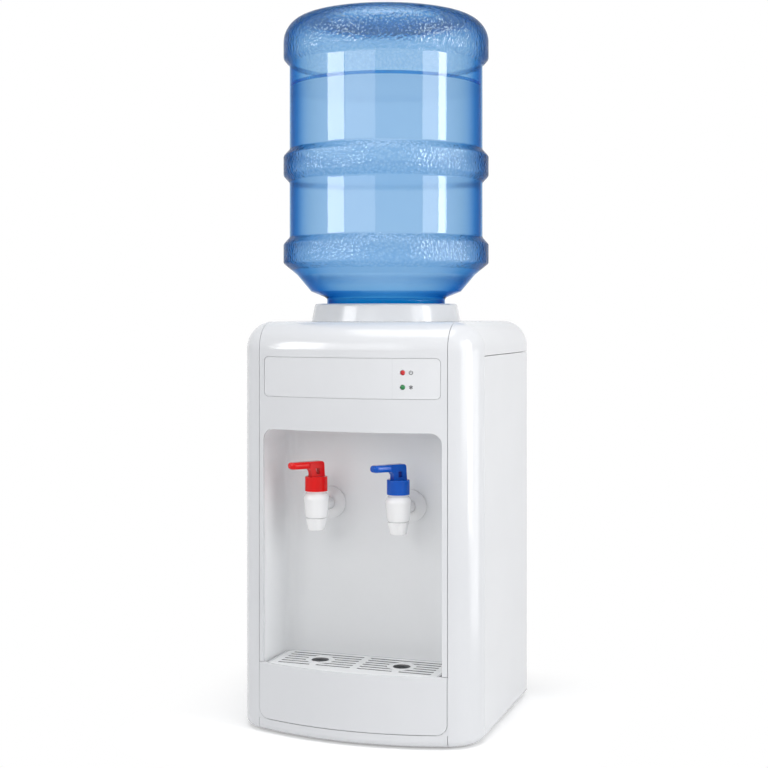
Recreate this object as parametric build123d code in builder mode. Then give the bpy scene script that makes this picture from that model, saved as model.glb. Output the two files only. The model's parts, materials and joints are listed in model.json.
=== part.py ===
"""Countertop water dispenser with an upturned bottle, in millimetres.

The origin lies on the floor under the bottle's axis. +Z is up and the taps face -Y.
"""
import math
import os

from build123d import *

# Cabinet outline
cabinet_width = 314.0
axis_to_front = 153.0
axis_to_back = 140.0
bow_radius = 375.0
corner_radius = 50.0
cabinet_top = 516.0
floor_gap = 3.0
top_round = 34.0
bottom_round = 8.0
wall = 3.0
seam = 0.7
fit = 0.3
skirt_z = 474.0
pillar_back = 85.0
fascia_back = 106.0
lip = 14.0

# Dispensing bay
bay_mouth_width = 234.0
bay_back_width = 226.0
bay_back = 60.0
bay_top = 382.0
bay_round = 14.0
bay_wall = 2.5
bay_floor = 18.5

# Display panel and lamps
display_width = 231.6
display_low = 422.6
display_high = 472.6
display_round = 6.0
display_depth = 1.8
display_sink = 0.3
display_gap = 0.4
lamp_x = 71.0
power_lamp_z = 455.0
cold_lamp_z = 437.4
lamp_diameter = 6.0
lamp_length = 10.0

# Drip tray and grille
tray_top = 88.4
tray_gap = 1.2
tray_round = 12.0
tray_wall = 2.5
tray_ledge = 2.5
grille_thickness = 2.5
slot_width = 4.0
slot_pitch = 10.5
slot_rows = 6
grille_rim = 9.0
grille_rib = 9.0
drain_hole = 22.0
drain_ring = 37.0

# Taps
tap_x = 54.3
tap_y = 112.0
tap_turn = 38.0
shank_z = 283.0
shank_diameter = 16.0
shank_end = 28.0
nozzle_low = 254.5
tap_waist = 270.0
tap_shoulder = 301.0
tap_head_diameter = 32.6
tap_waist_diameter = 28.0
bonnet_low = 303.7
bonnet_top = 322.0
bonnet_diameter = 28.4
bonnet_wall = 2.0
lever_top = 341.0
lever_thickness = 8.8
lever_reach = 39.0
lever_width = 9.0
paddle_width = 15.0
pin_diameter = 3.0
pin_behind = 7.5
pin_z = 317.5
stem_diameter = 5.0
stem_head = 18.0
stem_head_top = 313.4
seat_z = 268.0
flange_diameter = 41.0

# Bottle, from the mouth up to the crown
bottle_radius = 127.0
ring_radius = 135.0
plug_radius = 77.7
neck_radius = 27.5
mouth_z = 450.0
neck_top = 490.0
plug_low = 526.0
plug_top = 546.6
shoulder_radius = 117.0
shoulder_z = 577.0
ring_height = 43.0
low_ring_z = 583.0
mid_ring_z = 698.0
top_ring_z = 852.0
crown_z = 914.0
crown_round = 32.0
bottle_wall = 1.5
water_level = 822.0

# Bottle collar and feed cup
collar_base_radius = 97.9
collar_top_radius = 93.6
collar_top = 539.0
collar_low = 499.0
collar_hole = 44.0
seat_gap = 0.4
cup_radius = 43.0
cup_low = 430.0
probe_radius = 6.0
probe_top = 474.0

# Cold side
tank_y = 14.0
tank_radius = 62.0
tank_low = 345.0
tank_top = 488.0
tank_wall = 1.5
foam = 7.5
shelf_z = 335.0
fan_z = 415.0
fan_size = 80.0
fan_depth = 15.0
sink_size = 90.0

# Hot side and plumbing
hot_tank_y = 45.0
hot_tank_radius = 50.0
hot_tank_low = 130.0
hot_tank_top = 255.0
hose_radius = 6.0
hose_wall = 1.5
hose_bend = 20.0
drain_z = 60.0
drain_reach = 13.0

# Rear fittings
switch_x = 95.0
heat_switch_z = 300.0
cool_switch_z = 270.0
gland_z = 60.0
foot_diameter = 20.0
foot_inset = 48.0
screw_rows = [40.0, 240.0, 440.0]
screw_radius = 1.5
screw_inset = 7.0

# Values that follow from the sizes above
half_width = cabinet_width / 2
bow_centre = bow_radius - axis_to_front
corner_drop = math.sqrt((bow_radius - corner_radius) ** 2 - (half_width - corner_radius) ** 2)
seam_x = (half_width - corner_radius) * bow_radius / (bow_radius - corner_radius)
reach = 2 * (cabinet_width + axis_to_front)
floor_top = floor_gap + 2 * wall
back_inside = axis_to_back - wall
screw_x = half_width - wall - screw_inset

os.makedirs("parts", exist_ok=True)


def bow_y(x, inset):
    """Y of the bowed front at a distance x from the middle, at an inset from its face."""
    return bow_centre - math.sqrt((bow_radius - inset) ** 2 - x**2)


def cabinet_plan(inset):
    """Plan of the cabinet: a bowed front, rounded front corners, straight sides and back."""
    side = half_width - inset
    back = axis_to_back - inset
    with BuildSketch() as plan:
        with BuildLine():
            ThreePointArc((-side, bow_y(side, inset)), (0, inset - axis_to_front), (side, bow_y(side, inset)))
            Polyline((side, bow_y(side, inset)), (side, back), (-side, back), (-side, bow_y(side, inset)))
        make_face()
        fillet(plan.vertices().group_by(Axis.Y)[0], corner_radius - inset)
    return plan.sketch


def cabinet_form(inset):
    """The whole cabinet as one block at an inset, with its long edges rounded."""
    with BuildPart() as form:
        with BuildSketch(Plane.XY.offset(floor_gap + inset)):
            add(cabinet_plan(inset))
        extrude(amount=cabinet_top - floor_gap - 2 * inset)
        top_edges = form.faces().sort_by(Axis.Z)[-1].edges().sort_by(Axis.Y)[:-1]
        fillet(top_edges, top_round - inset)
        bottom_edges = form.faces().sort_by(Axis.Z)[0].edges().sort_by(Axis.Y)[:-1]
        fillet(bottom_edges, bottom_round - inset)
    return form.part


def block(x_range, y_range, z_range, mode=Mode.ADD):
    """A box between the given limits, joined to the part being built."""
    size = [high - low for low, high in (x_range, y_range, z_range)]
    middle = [(high + low) / 2 for low, high in (x_range, y_range, z_range)]
    with Locations(tuple(middle)):
        Box(*size, mode=mode)


def save(part, name):
    """Label a finished piece and write it."""
    part.label = name
    export_step(part, f"parts/{name}.step")


outer_form = cabinet_form(0)
inner_form = cabinet_form(wall)

# Hollow casing that the fascia, the side panels and the top cover are cut from.
with BuildPart() as casing:
    add(outer_form)
    add(inner_form, mode=Mode.SUBTRACT)
    with BuildSketch(Plane.XY):
        add(cabinet_plan(lip))
    extrude(amount=floor_gap + 2 * wall, mode=Mode.SUBTRACT)

# Display panel: a thin bowed plate that lies just below the fascia's face.
lamp_centres = [(lamp_x, power_lamp_z), (lamp_x, cold_lamp_z)]
display_middle = (display_low + display_high) / 2
with BuildPart() as display_panel:
    add(cabinet_form(display_sink))
    add(cabinet_form(display_depth), mode=Mode.SUBTRACT)
    with BuildSketch(Plane.XZ):
        with Locations((0, display_middle)):
            RectangleRounded(
                display_width - 2 * display_gap,
                display_high - display_low - 2 * display_gap,
                display_round - display_gap,
            )
        with Locations(*lamp_centres):
            Circle(lamp_diameter / 2 + fit / 2, mode=Mode.SUBTRACT)
    extrude(amount=reach, mode=Mode.INTERSECT)
save(display_panel.part, "display_panel")

# Pocket that the display panel drops into.
with BuildPart() as display_pocket:
    add(outer_form)
    add(cabinet_form(display_depth), mode=Mode.SUBTRACT)
    with BuildSketch(Plane.XZ):
        with Locations((0, display_middle)):
            RectangleRounded(display_width, display_high - display_low, display_round)
    extrude(amount=reach, mode=Mode.INTERSECT)

# Front fascia: bowed moulding that wraps over the top edge, open at the dispensing bay.
fascia_half = seam_x - seam / 2
with BuildPart() as front_fascia:
    add(casing.part)
    block(
        (-fascia_half, fascia_half),
        (-reach, -fascia_back),
        (tray_top + seam, cabinet_top + wall),
        Mode.INTERSECT,
    )
    with BuildSketch(Plane.XZ) as bay_mouth:
        with BuildLine():
            half_mouth = bay_mouth_width / 2
            Polyline((-half_mouth, 0), (half_mouth, 0), (half_mouth, bay_top), (-half_mouth, bay_top), close=True)
        make_face()
        fillet(bay_mouth.vertices().group_by(Axis.Y)[-1], bay_round)
        with Locations(*lamp_centres):
            Circle(lamp_diameter / 2 + fit / 2)
    extrude(amount=reach, mode=Mode.SUBTRACT)
    add(display_pocket.part, mode=Mode.SUBTRACT)
save(front_fascia.part, "front_fascia")

# Front pillars: rounded corners, closed on the bay side by a return wall.
pillar_inner = seam_x + seam / 2
with BuildPart() as pillar_hollow:
    add(inner_form)
    block((pillar_inner + wall, half_width), (-reach, reach), (0, cabinet_top), Mode.INTERSECT)

with BuildPart() as right_pillar:
    add(outer_form)
    block((pillar_inner, half_width), (-reach, -pillar_back - seam / 2), (0, cabinet_top), Mode.INTERSECT)
    add(pillar_hollow.part, mode=Mode.SUBTRACT)
save(right_pillar.part, "right_pillar")

with BuildPart() as left_pillar:
    mirror(right_pillar.part, about=Plane.YZ)
save(left_pillar.part, "left_pillar")

# Side panels: flat sheets with a bottom lip and a rear flange that the rear panel is screwed to.
with BuildPart() as right_side_panel:
    add(casing.part)
    block(
        (half_width - lip, half_width),
        (-pillar_back + seam / 2, axis_to_back),
        (0, skirt_z - seam / 2),
        Mode.INTERSECT,
    )
    block((0, half_width - wall), (back_inside, axis_to_back), (0, cabinet_top), Mode.SUBTRACT)
    block((half_width - lip, half_width - wall), (back_inside - wall, back_inside), (floor_top, skirt_z - lip))
    with BuildSketch(Plane.XZ.offset(-axis_to_back)):
        with Locations(*[(screw_x, row) for row in screw_rows]):
            Circle(screw_radius + fit / 2)
    extrude(amount=axis_to_back, mode=Mode.SUBTRACT)
save(right_side_panel.part, "right_side_panel")

with BuildPart() as left_side_panel:
    mirror(right_side_panel.part, about=Plane.YZ)
save(left_side_panel.part, "left_side_panel")

# Top cover: the rounded top with skirts down the sides and the back, open under the collar.
collar_skirt_radius = collar_base_radius - lip
with BuildPart() as top_cover:
    add(casing.part)
    block(
        (-half_width, half_width),
        (-fascia_back + seam, axis_to_back),
        (skirt_z + seam / 2, cabinet_top),
        Mode.INTERSECT,
    )
    for side in (-1, 1):
        outside = sorted((side * fascia_half, side * (half_width + wall)))
        block(outside, (-reach, -pillar_back + seam / 2), (0, cabinet_top), Mode.SUBTRACT)
    with BuildSketch(Plane.XY):
        Circle(collar_skirt_radius + fit)
    extrude(amount=cabinet_top, mode=Mode.SUBTRACT)
save(top_cover.part, "top_cover")

# Base pan: the floor plate, with the front apron under the tray and two ribs for the bay.
apron_top = bay_floor - tray_gap / 2
rib_x = 60.0
rib_width = 4.0
with BuildPart() as base_pan:
    add(casing.part)
    block((-fascia_half, fascia_half), (-reach, -pillar_back), (0, apron_top), Mode.INTERSECT)
    with BuildSketch(Plane.XY.offset(floor_gap + wall)):
        add(cabinet_plan(bottom_round + fit))
    extrude(amount=wall)
    for side in (-1, 1):
        corner = sorted((side * fascia_half, side * half_width))
        block(corner, (-reach, fit - pillar_back), (0, floor_top), Mode.SUBTRACT)
        rib = sorted((side * rib_x, side * (rib_x + rib_width)))
        block(rib, (-pillar_back - lip, -bay_back), (floor_top - wall / 2, bay_floor - bay_wall))
save(base_pan.part, "base_pan")


def bay_form(grow):
    """The dispensing bay as a block: drafted sides, with its ceiling and back corners rounded."""
    mouth_y = bow_y(bay_mouth_width / 2, 0)
    draft = (bay_mouth_width - bay_back_width) / 2 / (-bay_back - mouth_y)
    front = axis_to_front + wall
    half_back = bay_back_width / 2 + grow
    half_front = half_back + draft * (front - bay_back)
    with BuildPart() as form:
        with BuildSketch(Plane.XY.offset(bay_floor - grow)):
            with BuildLine():
                Polyline(
                    (-half_front, -front),
                    (half_front, -front),
                    (half_back, grow - bay_back),
                    (-half_back, grow - bay_back),
                    close=True,
                )
            make_face()
        extrude(amount=bay_top - bay_floor + 2 * grow)
        back_corners = form.edges().filter_by(Axis.Z).group_by(Axis.Y)[-1]
        ceiling_edges = form.faces().sort_by(Axis.Z)[-1].edges().sort_by(Axis.Y)[1:]
        fillet(back_corners + ceiling_edges, bay_round + grow)
    return form.part


# Niche liner: the tub of the dispensing bay, drilled for the two tap shanks.
shank_hole = shank_diameter / 2 + fit
with BuildPart() as niche_liner:
    add(bay_form(bay_wall))
    add(bay_form(0), mode=Mode.SUBTRACT)
    add(cabinet_form(wall + fit), mode=Mode.INTERSECT)
    with BuildSketch(Plane.XZ.offset(bay_back + wall)):
        with Locations((-tap_x, shank_z), (tap_x, shank_z)):
            Circle(shank_hole)
    extrude(amount=-2 * (bay_wall + wall), mode=Mode.SUBTRACT)
save(niche_liner.part, "niche_liner")

# Lamps: short round lenses that stand through the display panel, on a small board.
lamp_face = bow_y(lamp_x, 0)
board_y = lamp_face + lamp_length
board_thickness = 1.6
for lamp_name, lamp_z in (("power_lamp", power_lamp_z), ("cold_lamp", cold_lamp_z)):
    with BuildPart() as lamp:
        with BuildSketch(Plane((lamp_x, board_y, lamp_z), x_dir=(1, 0, 0), z_dir=(0, -1, 0))):
            Circle(lamp_diameter / 2)
        extrude(amount=lamp_length + display_sink)
        fillet(lamp.faces().sort_by(Axis.Y)[0].edges(), lamp_diameter / 3)
    save(lamp.part, lamp_name)

board_width = 44.0
board_height = 40.0
standoff_radius = 2.5
standoff_z = 14.0
with BuildPart() as lamp_board:
    block(
        (lamp_x - board_width / 2, lamp_x + board_width / 2),
        (board_y, board_y + board_thickness),
        (display_middle - board_height / 2, display_middle + board_height / 2),
    )
    for offset_x in (-board_width / 3, board_width / 3):
        post_x = lamp_x + offset_x
        post_length = board_y - bow_y(post_x + standoff_radius, wall) - fit / 2
        with BuildSketch(Plane((post_x, board_y, display_middle), x_dir=(1, 0, 0), z_dir=(0, -1, 0))):
            with Locations((0, standoff_z), (0, -standoff_z)):
                Circle(standoff_radius)
        extrude(amount=post_length)
save(lamp_board.part, "lamp_board")

# Drip tray: a drawer whose bowed front carries on the line of the fascia.
tray_low = bay_floor + fit
tray_back = bay_back + fit
basin_half = bay_back_width / 2 - 2 * fit
tray_half = pillar_inner - tray_gap


def tray_plan(inset):
    """Plan of the tray's basin at an inset: bowed in front, rounded at the back corners."""
    with BuildSketch() as plan:
        add(cabinet_plan(inset))
        with Locations((0, -tray_back - inset - reach / 2)):
            Rectangle(2 * (basin_half - inset), reach, mode=Mode.INTERSECT)
        fillet(plan.vertices().group_by(Axis.Y)[-1], bay_round - inset)
    return plan.sketch


with BuildPart() as drip_tray:
    add(casing.part)
    with BuildSketch(Plane.XZ.offset(pillar_back)) as tray_front:
        with Locations((0, (tray_low + tray_top) / 2)):
            Rectangle(2 * tray_half, tray_top - tray_low)
        fillet(tray_front.vertices().group_by(Axis.Y)[0], tray_round)
    extrude(amount=reach, mode=Mode.INTERSECT)
    with BuildSketch(Plane.XY.offset(tray_low)):
        add(tray_plan(0))
    extrude(amount=tray_top - tray_low)
    with BuildSketch(Plane.XY.offset(tray_low + tray_wall)):
        add(tray_plan(tray_wall + tray_ledge))
    extrude(amount=tray_top, mode=Mode.SUBTRACT)
    with BuildSketch(Plane.XY.offset(tray_top - grille_thickness)):
        add(tray_plan(tray_wall))
    extrude(amount=tray_top, mode=Mode.SUBTRACT)
save(drip_tray.part, "drip_tray")

# Drip grille: two halves of slots either side of a rib, with a ringed drain hole under each tap.
grille_inset = tray_wall + fit
first_row = tray_back + grille_inset + grille_rim
rows = [-first_row - row * slot_pitch for row in range(slot_rows)]
drain_y = (rows[0] + rows[-1]) / 2
slot_length = basin_half - grille_inset - grille_rim - grille_rib / 2
slot_middle = grille_rib / 2 + slot_length / 2
with BuildPart() as drip_grille:
    with BuildSketch(Plane.XY.offset(tray_top - grille_thickness)):
        add(tray_plan(grille_inset))
    extrude(amount=grille_thickness)
    with BuildSketch(Plane.XY.offset(tray_top)):
        for side in (-1, 1):
            with Locations(*[(side * slot_middle, row) for row in rows]):
                SlotOverall(slot_length, slot_width)
            with Locations((side * tap_x, drain_y)):
                Circle(drain_ring / 2, mode=Mode.SUBTRACT)
            with Locations((side * tap_x, drain_y - drain_ring)):
                Rectangle(grille_rib, 2 * drain_ring, mode=Mode.SUBTRACT)
            with Locations((side * tap_x, drain_y)):
                Circle(drain_hole / 2)
    extrude(amount=-grille_thickness, mode=Mode.SUBTRACT)
save(drip_grille.part, "drip_grille")

# Taps: push-down valves. The lever turns on a pin in the bonnet and pushes the stem down.
turn = math.radians(tap_turn)
to_rear = (math.sin(turn), math.cos(turn), 0)
neck_gap = 0.2
neck_outer = bonnet_diameter / 2 - bonnet_wall - neck_gap
neck_inner = neck_outer - 2.5
neck_top_z = stem_head_top - 6.9
barrel_round = 3.0
chamber_radius = 10.0
chamber_low = seat_z + 3
chamber_top = tap_shoulder - 4
nozzle_top_width = 25.0
nozzle_low_width = 19.0
nozzle_corner = 6.5
nozzle_bore = 6.5
seat_bore = 4.0
running_gap = 0.08
water_bore = 5.0
tap_plug_radius = 5.5
plug_height = 5.0
stem_head_height = 2.5
lever_gap = 0.2
lug_gap = 0.4
lug_thickness = 2.5
lug_half = 3.5
bonnet_roof = 2.5
lever_foot = stem_head_top + lever_gap
lever_low = lever_top - lever_thickness
bonnet_inner = bonnet_diameter / 2 - bonnet_wall
slot_half = lever_width / 2 + lug_gap
slot_front = bonnet_inner - fit
slot_rear = math.sqrt(bonnet_inner**2 - slot_half**2) - fit / 2
nut_flats = 26.0
nut_depth = 8.0
spring_radius = 7.5
spring_wire = 1.5
bonnet_edge = 1.2
foot_front = 9.0
foot_rear = 10.0
lever_round = 4.0
window_half = 3.0


def lever_plane(side):
    """Upright plane through a tap's axis along its lever, with its x axis towards the rear."""
    return Plane((side * tap_x, -tap_y, 0), x_dir=to_rear, z_dir=(to_rear[1], -to_rear[0], 0))


for tap_name, side in (("hot", -1), ("cold", 1)):
    centre = (side * tap_x, -tap_y, 0)
    tap_axis = Axis(centre, (0, 0, 1))
    profile_plane = Plane(centre, x_dir=(1, 0, 0), z_dir=(0, -1, 0))
    shank_plane = Plane((side * tap_x, -shank_end, shank_z), x_dir=(1, 0, 0), z_dir=(0, -1, 0))

    # White body: tapered barrel with a squared nozzle below and a threaded shank to the tank.
    with BuildPart() as tap_body:
        with BuildSketch(Plane.XY.offset(nozzle_low)):
            with Locations(centre[:2]):
                RectangleRounded(nozzle_low_width, nozzle_low_width, nozzle_corner)
        with BuildSketch(Plane.XY.offset(tap_waist)):
            with Locations(centre[:2]):
                RectangleRounded(nozzle_top_width, nozzle_top_width, nozzle_corner + 2)
        loft()
        with BuildSketch(profile_plane) as barrel:
            with BuildLine():
                Polyline(
                    (0, tap_waist),
                    (tap_waist_diameter / 2, tap_waist),
                    (tap_head_diameter / 2, tap_shoulder - 5),
                    (neck_outer + 1.5, tap_shoulder),
                    (neck_outer, tap_shoulder),
                    (neck_outer, neck_top_z),
                    (0, neck_top_z),
                    close=True,
                )
            make_face()
            fillet(barrel.vertices().group_by(Axis.Y)[0].sort_by(Axis.X)[-1], barrel_round)
        revolve(axis=tap_axis)
        with BuildSketch(shank_plane):
            Circle(shank_diameter / 2)
        extrude(amount=tap_y - shank_end)
        with BuildSketch(profile_plane):
            with BuildLine():
                Polyline(
                    (0, nozzle_low - 1),
                    (nozzle_bore, nozzle_low - 1),
                    (nozzle_bore, seat_z),
                    (seat_bore, seat_z),
                    (seat_bore, chamber_low),
                    (chamber_radius, chamber_low),
                    (chamber_radius, chamber_top),
                    (stem_diameter / 2 + running_gap, chamber_top),
                    (stem_diameter / 2 + running_gap, tap_shoulder),
                    (neck_inner, tap_shoulder),
                    (neck_inner, neck_top_z + 1),
                    (0, neck_top_z + 1),
                    close=True,
                )
            make_face()
        revolve(axis=tap_axis, mode=Mode.SUBTRACT)
        with BuildSketch(shank_plane):
            Circle(water_bore)
        extrude(amount=tap_y - shank_end, mode=Mode.SUBTRACT)
    save(tap_body.part, f"{tap_name}_tap_body")

    # Flange: a domed rose that covers the shank's hole in the bay.
    with BuildPart() as tap_flange:
        with BuildSketch(Plane.XY.offset(shank_z)) as rose:
            with BuildLine():
                inner = shank_diameter / 2 + running_gap
                outer = flange_diameter / 2
                rim = 2.5
                Polyline((inner, -bay_back), (outer, -bay_back), (outer, -bay_back - rim))
                ThreePointArc((outer, -bay_back - rim), (outer - 5, -bay_back - 6.6), (inner + 1.5, -bay_back - 8.5))
                Polyline((inner + 1.5, -bay_back - 8.5), (inner, -bay_back - 8.5), (inner, -bay_back))
            make_face()
        revolve(axis=Axis((0, 0, shank_z), (0, 1, 0)))
    save(tap_flange.part.moved(Location((side * tap_x, 0, 0))), f"{tap_name}_tap_flange")

    # Stem: a plunger with a head under the lever and a plug below the valve seat.
    with BuildPart() as tap_stem:
        with BuildSketch(profile_plane):
            with BuildLine():
                plug_top_z = seat_z - running_gap
                Polyline(
                    (0, plug_top_z - plug_height),
                    (tap_plug_radius, plug_top_z - plug_height),
                    (tap_plug_radius, plug_top_z),
                    (stem_diameter / 2, plug_top_z),
                    (stem_diameter / 2, stem_head_top - stem_head_height),
                    (stem_head / 2, stem_head_top - stem_head_height),
                    (stem_head / 2, stem_head_top),
                    (0, stem_head_top),
                    close=True,
                )
            make_face()
        revolve(axis=tap_axis)
    save(tap_stem.part, f"{tap_name}_tap_stem")

    # Spring: hidden in the bonnet, kept as a plain sleeve of the coil's size.
    spring_low = tap_shoulder
    spring_top = stem_head_top - stem_head_height
    with BuildPart() as tap_spring:
        with BuildSketch(Plane.XY.offset(spring_low)):
            with Locations(centre[:2]):
                Circle(spring_radius)
                Circle(spring_radius - spring_wire, mode=Mode.SUBTRACT)
        extrude(amount=spring_top - spring_low)
    save(tap_spring.part, f"{tap_name}_tap_spring")

    # Bonnet: a coloured cap with a slot for the lever and two lugs inside that hold its pin.
    with BuildPart() as tap_bonnet:
        with BuildSketch(Plane.XY.offset(bonnet_low)):
            with Locations(centre[:2]):
                Circle(bonnet_diameter / 2)
        extrude(amount=bonnet_top - bonnet_low)
        fillet(tap_bonnet.faces().sort_by(Axis.Z)[-1].edges(), bonnet_edge)
        with BuildSketch(Plane.XY.offset(bonnet_low)):
            with Locations(centre[:2]):
                Circle(bonnet_inner)
        extrude(amount=bonnet_top - bonnet_roof - bonnet_low, mode=Mode.SUBTRACT)
        with BuildSketch(lever_plane(side)):
            with Locations((pin_behind, pin_z + lug_half / 2)):
                Rectangle(2 * lug_half, 3 * lug_half)
        extrude(amount=slot_half + lug_thickness, both=True)
        with BuildSketch(lever_plane(side)):
            with BuildLine():
                Polyline(
                    (-slot_front, bonnet_low),
                    (slot_rear, bonnet_low),
                    (slot_rear, bonnet_top + 1),
                    (-slot_front, bonnet_top + 1),
                    close=True,
                )
            make_face()
        extrude(amount=slot_half, both=True, mode=Mode.SUBTRACT)
        with BuildSketch(Plane.XY.offset(bonnet_low)):
            with Locations(centre[:2]):
                Circle(bonnet_diameter / 2)
        extrude(amount=bonnet_top - bonnet_low, mode=Mode.INTERSECT)
        with BuildSketch(lever_plane(side)):
            with Locations((pin_behind, pin_z)):
                Circle(pin_diameter / 2)
        extrude(amount=slot_half + lug_thickness, both=True, mode=Mode.SUBTRACT)
    save(tap_bonnet.part, f"{tap_name}_tap_bonnet")

    # Lever: a windowed foot through the bonnet's slot, an arm and a wide rounded paddle.
    with BuildPart() as tap_lever:
        with BuildSketch(lever_plane(side)) as lever_side:
            with BuildLine():
                Line((-foot_front, lever_foot), (foot_rear, lever_foot))
                Line((foot_rear, lever_foot), (foot_rear, bonnet_top))
                Line((foot_rear, bonnet_top), (foot_rear - 1, lever_top))
                Line((foot_rear - 1, lever_top), (-foot_front - 8, lever_top))
                Line((-foot_front - 8, lever_top), (-foot_front - 8, lever_low))
                Line((-foot_front - 8, lever_low), (-foot_front - 4, lever_low))
                ThreePointArc(
                    (-foot_front - 4, lever_low),
                    (-foot_front - 1, lever_low - 3),
                    (-foot_front, lever_low - 8),
                )
                Line((-foot_front, lever_low - 8), (-foot_front, lever_foot))
            make_face()
            fillet(lever_side.vertices().group_by(Axis.Y)[-1].sort_by(Axis.X)[-1], lever_round)
            with BuildLine():
                Polyline(
                    (-window_half, lever_low),
                    (-window_half + 1, bonnet_top + 3),
                    (window_half, bonnet_top + 3),
                    (window_half - 0.5, lever_low),
                    close=True,
                )
            make_face(mode=Mode.SUBTRACT)
            with Locations((pin_behind, pin_z)):
                Circle(pin_diameter / 2 + running_gap, mode=Mode.SUBTRACT)
        extrude(amount=lever_width / 2, both=True)
        paddle_length = lever_reach - foot_front - 1
        paddle_plane = Plane((centre[0], centre[1], lever_low), x_dir=to_rear, z_dir=(0, 0, 1))
        with BuildSketch(paddle_plane):
            with Locations((-lever_reach + paddle_length / 2, 0)):
                RectangleRounded(paddle_length, paddle_width, paddle_width * 0.4)
        paddle = extrude(amount=lever_thickness, mode=Mode.PRIVATE)
        rims = paddle.faces().sort_by(Axis.Z)[0].edges() + paddle.faces().sort_by(Axis.Z)[-1].edges()
        add(paddle.fillet(lever_thickness * 0.45, rims))
    save(tap_lever.part, f"{tap_name}_tap_lever")

# Nuts: clamp the shanks against the back of the bay.
with BuildPart() as tap_nuts:
    for side in (-1, 1):
        with BuildSketch(Plane((side * tap_x, bay_wall - bay_back, shank_z), x_dir=(1, 0, 0), z_dir=(0, 1, 0))):
            RegularPolygon(nut_flats / 2, 6, major_radius=False)
            Circle(shank_diameter / 2 + running_gap, mode=Mode.SUBTRACT)
        extrude(amount=nut_depth)
save(tap_nuts.part, "tap_nuts")

# Pins: the levers' pivots, held in the bonnets' lugs.
with BuildPart() as tap_pins:
    for side in (-1, 1):
        with BuildSketch(lever_plane(side)):
            with Locations((pin_behind, pin_z)):
                Circle(pin_diameter / 2)
        extrude(amount=slot_half + lug_thickness, both=True)
save(tap_pins.part, "tap_pins")



def bottle_profile(inset, low):
    """Half profile of the upturned bottle at an inset, from the height low up to the crown."""
    body = bottle_radius - inset
    ring = ring_radius - inset
    crown = crown_z - inset
    with BuildSketch() as profile:
        with BuildLine():
            Polyline(
                (0, low),
                (neck_radius - inset, low),
                (neck_radius - inset, neck_top),
                (plug_radius - inset, plug_low),
                (plug_radius - inset, plug_top),
                (step_radius - inset, step_z),
                (shoulder_radius - inset, shoulder_z),
                (ring, low_ring_z + ring_slope),
                (ring, low_ring_z + ring_height - ring_slope),
                (body, low_ring_z + ring_height),
                (body, mid_ring_z),
                (ring, mid_ring_z + ring_slope),
                (ring, mid_ring_z + ring_height - ring_slope),
                (body, mid_ring_z + ring_height),
                (body, top_ring_z),
                (ring, top_ring_z + ring_slope),
                (ring, crown),
                (dent_radius + dent_depth * 2, crown),
                (dent_radius, crown - dent_depth),
                (0, crown - dent_depth),
                close=True,
            )
        make_face()
        outer_corners = profile.vertices().filter_by(lambda corner: corner.X > plug_radius - inset - 1)
        fillet(outer_corners.filter_by(lambda corner: corner.Y < crown - dent_depth), ring_fillet)
        crown_corner = profile.vertices().group_by(Axis.Y)[-1].sort_by(Axis.X)[-1]
        fillet(crown_corner, crown_round - inset)
    return profile.sketch


# Water bottle: a thin blown shell, mouth down, with three grip rings.
step_radius = 98.5
step_z = 555.0
ring_slope = 9.0
ring_fillet = 5.0
dent_radius = 70.0
dent_depth = 5.0
with BuildPart() as water_bottle:
    with BuildSketch(Plane.XZ):
        add(bottle_profile(0, mouth_z))
    revolve(axis=Axis.Z)
    with BuildSketch(Plane.XZ):
        add(bottle_profile(bottle_wall, mouth_z - 1))
    revolve(axis=Axis.Z, mode=Mode.SUBTRACT)
save(water_bottle.part, "water_bottle")

# Water that fills the bottle up to its level.
cap_floor = 2.2
with BuildPart() as bottle_water:
    with BuildSketch(Plane.XZ):
        add(bottle_profile(bottle_wall + fit, mouth_z + cap_floor))
        with Locations((0, (water_level + mouth_z) / 2)):
            Rectangle(2 * ring_radius, water_level - mouth_z, mode=Mode.INTERSECT)
    revolve(axis=Axis.Z)
    with BuildSketch(Plane.XY):
        Circle(probe_radius + 4)
    extrude(amount=probe_top + 2, mode=Mode.SUBTRACT)
save(bottle_water.part, "bottle_water")

# Bottle cap: a snap sleeve on the neck, with a guide tube for the feed probe.
cap_height = 24.0
cap_wall = 2.0
guide_radius = probe_radius + 1.5
with BuildPart() as bottle_cap:
    with BuildSketch(Plane.XZ):
        with BuildLine():
            cap_inner = neck_radius + fit
            cap_low = mouth_z - fit - cap_floor
            Polyline(
                (guide_radius, cap_low),
                (cap_inner + cap_wall, cap_low),
                (cap_inner + cap_wall, cap_low + cap_height),
                (cap_inner, cap_low + cap_height),
                (cap_inner, mouth_z - fit),
                (guide_radius + cap_wall, mouth_z - fit),
                (guide_radius + cap_wall, probe_top),
                (guide_radius, probe_top),
                close=True,
            )
        make_face()
    revolve(axis=Axis.Z)
save(bottle_cap.part, "bottle_cap")

# Bottle collar: a tapered ring on the top cover, with a cone inside that the bottle rests on.
cone_slope = (plug_radius - neck_radius) / (plug_low - neck_top)
cone_drop = seat_gap * math.sqrt(1 + cone_slope**2) / cone_slope
collar_bore = plug_radius + 4 * seat_gap
collar_edge = 4.0


def cone_z(radius):
    """Height of the collar's seat at a radius, just under the bottle's cone."""
    return neck_top + (radius - neck_radius) / cone_slope - cone_drop


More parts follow.
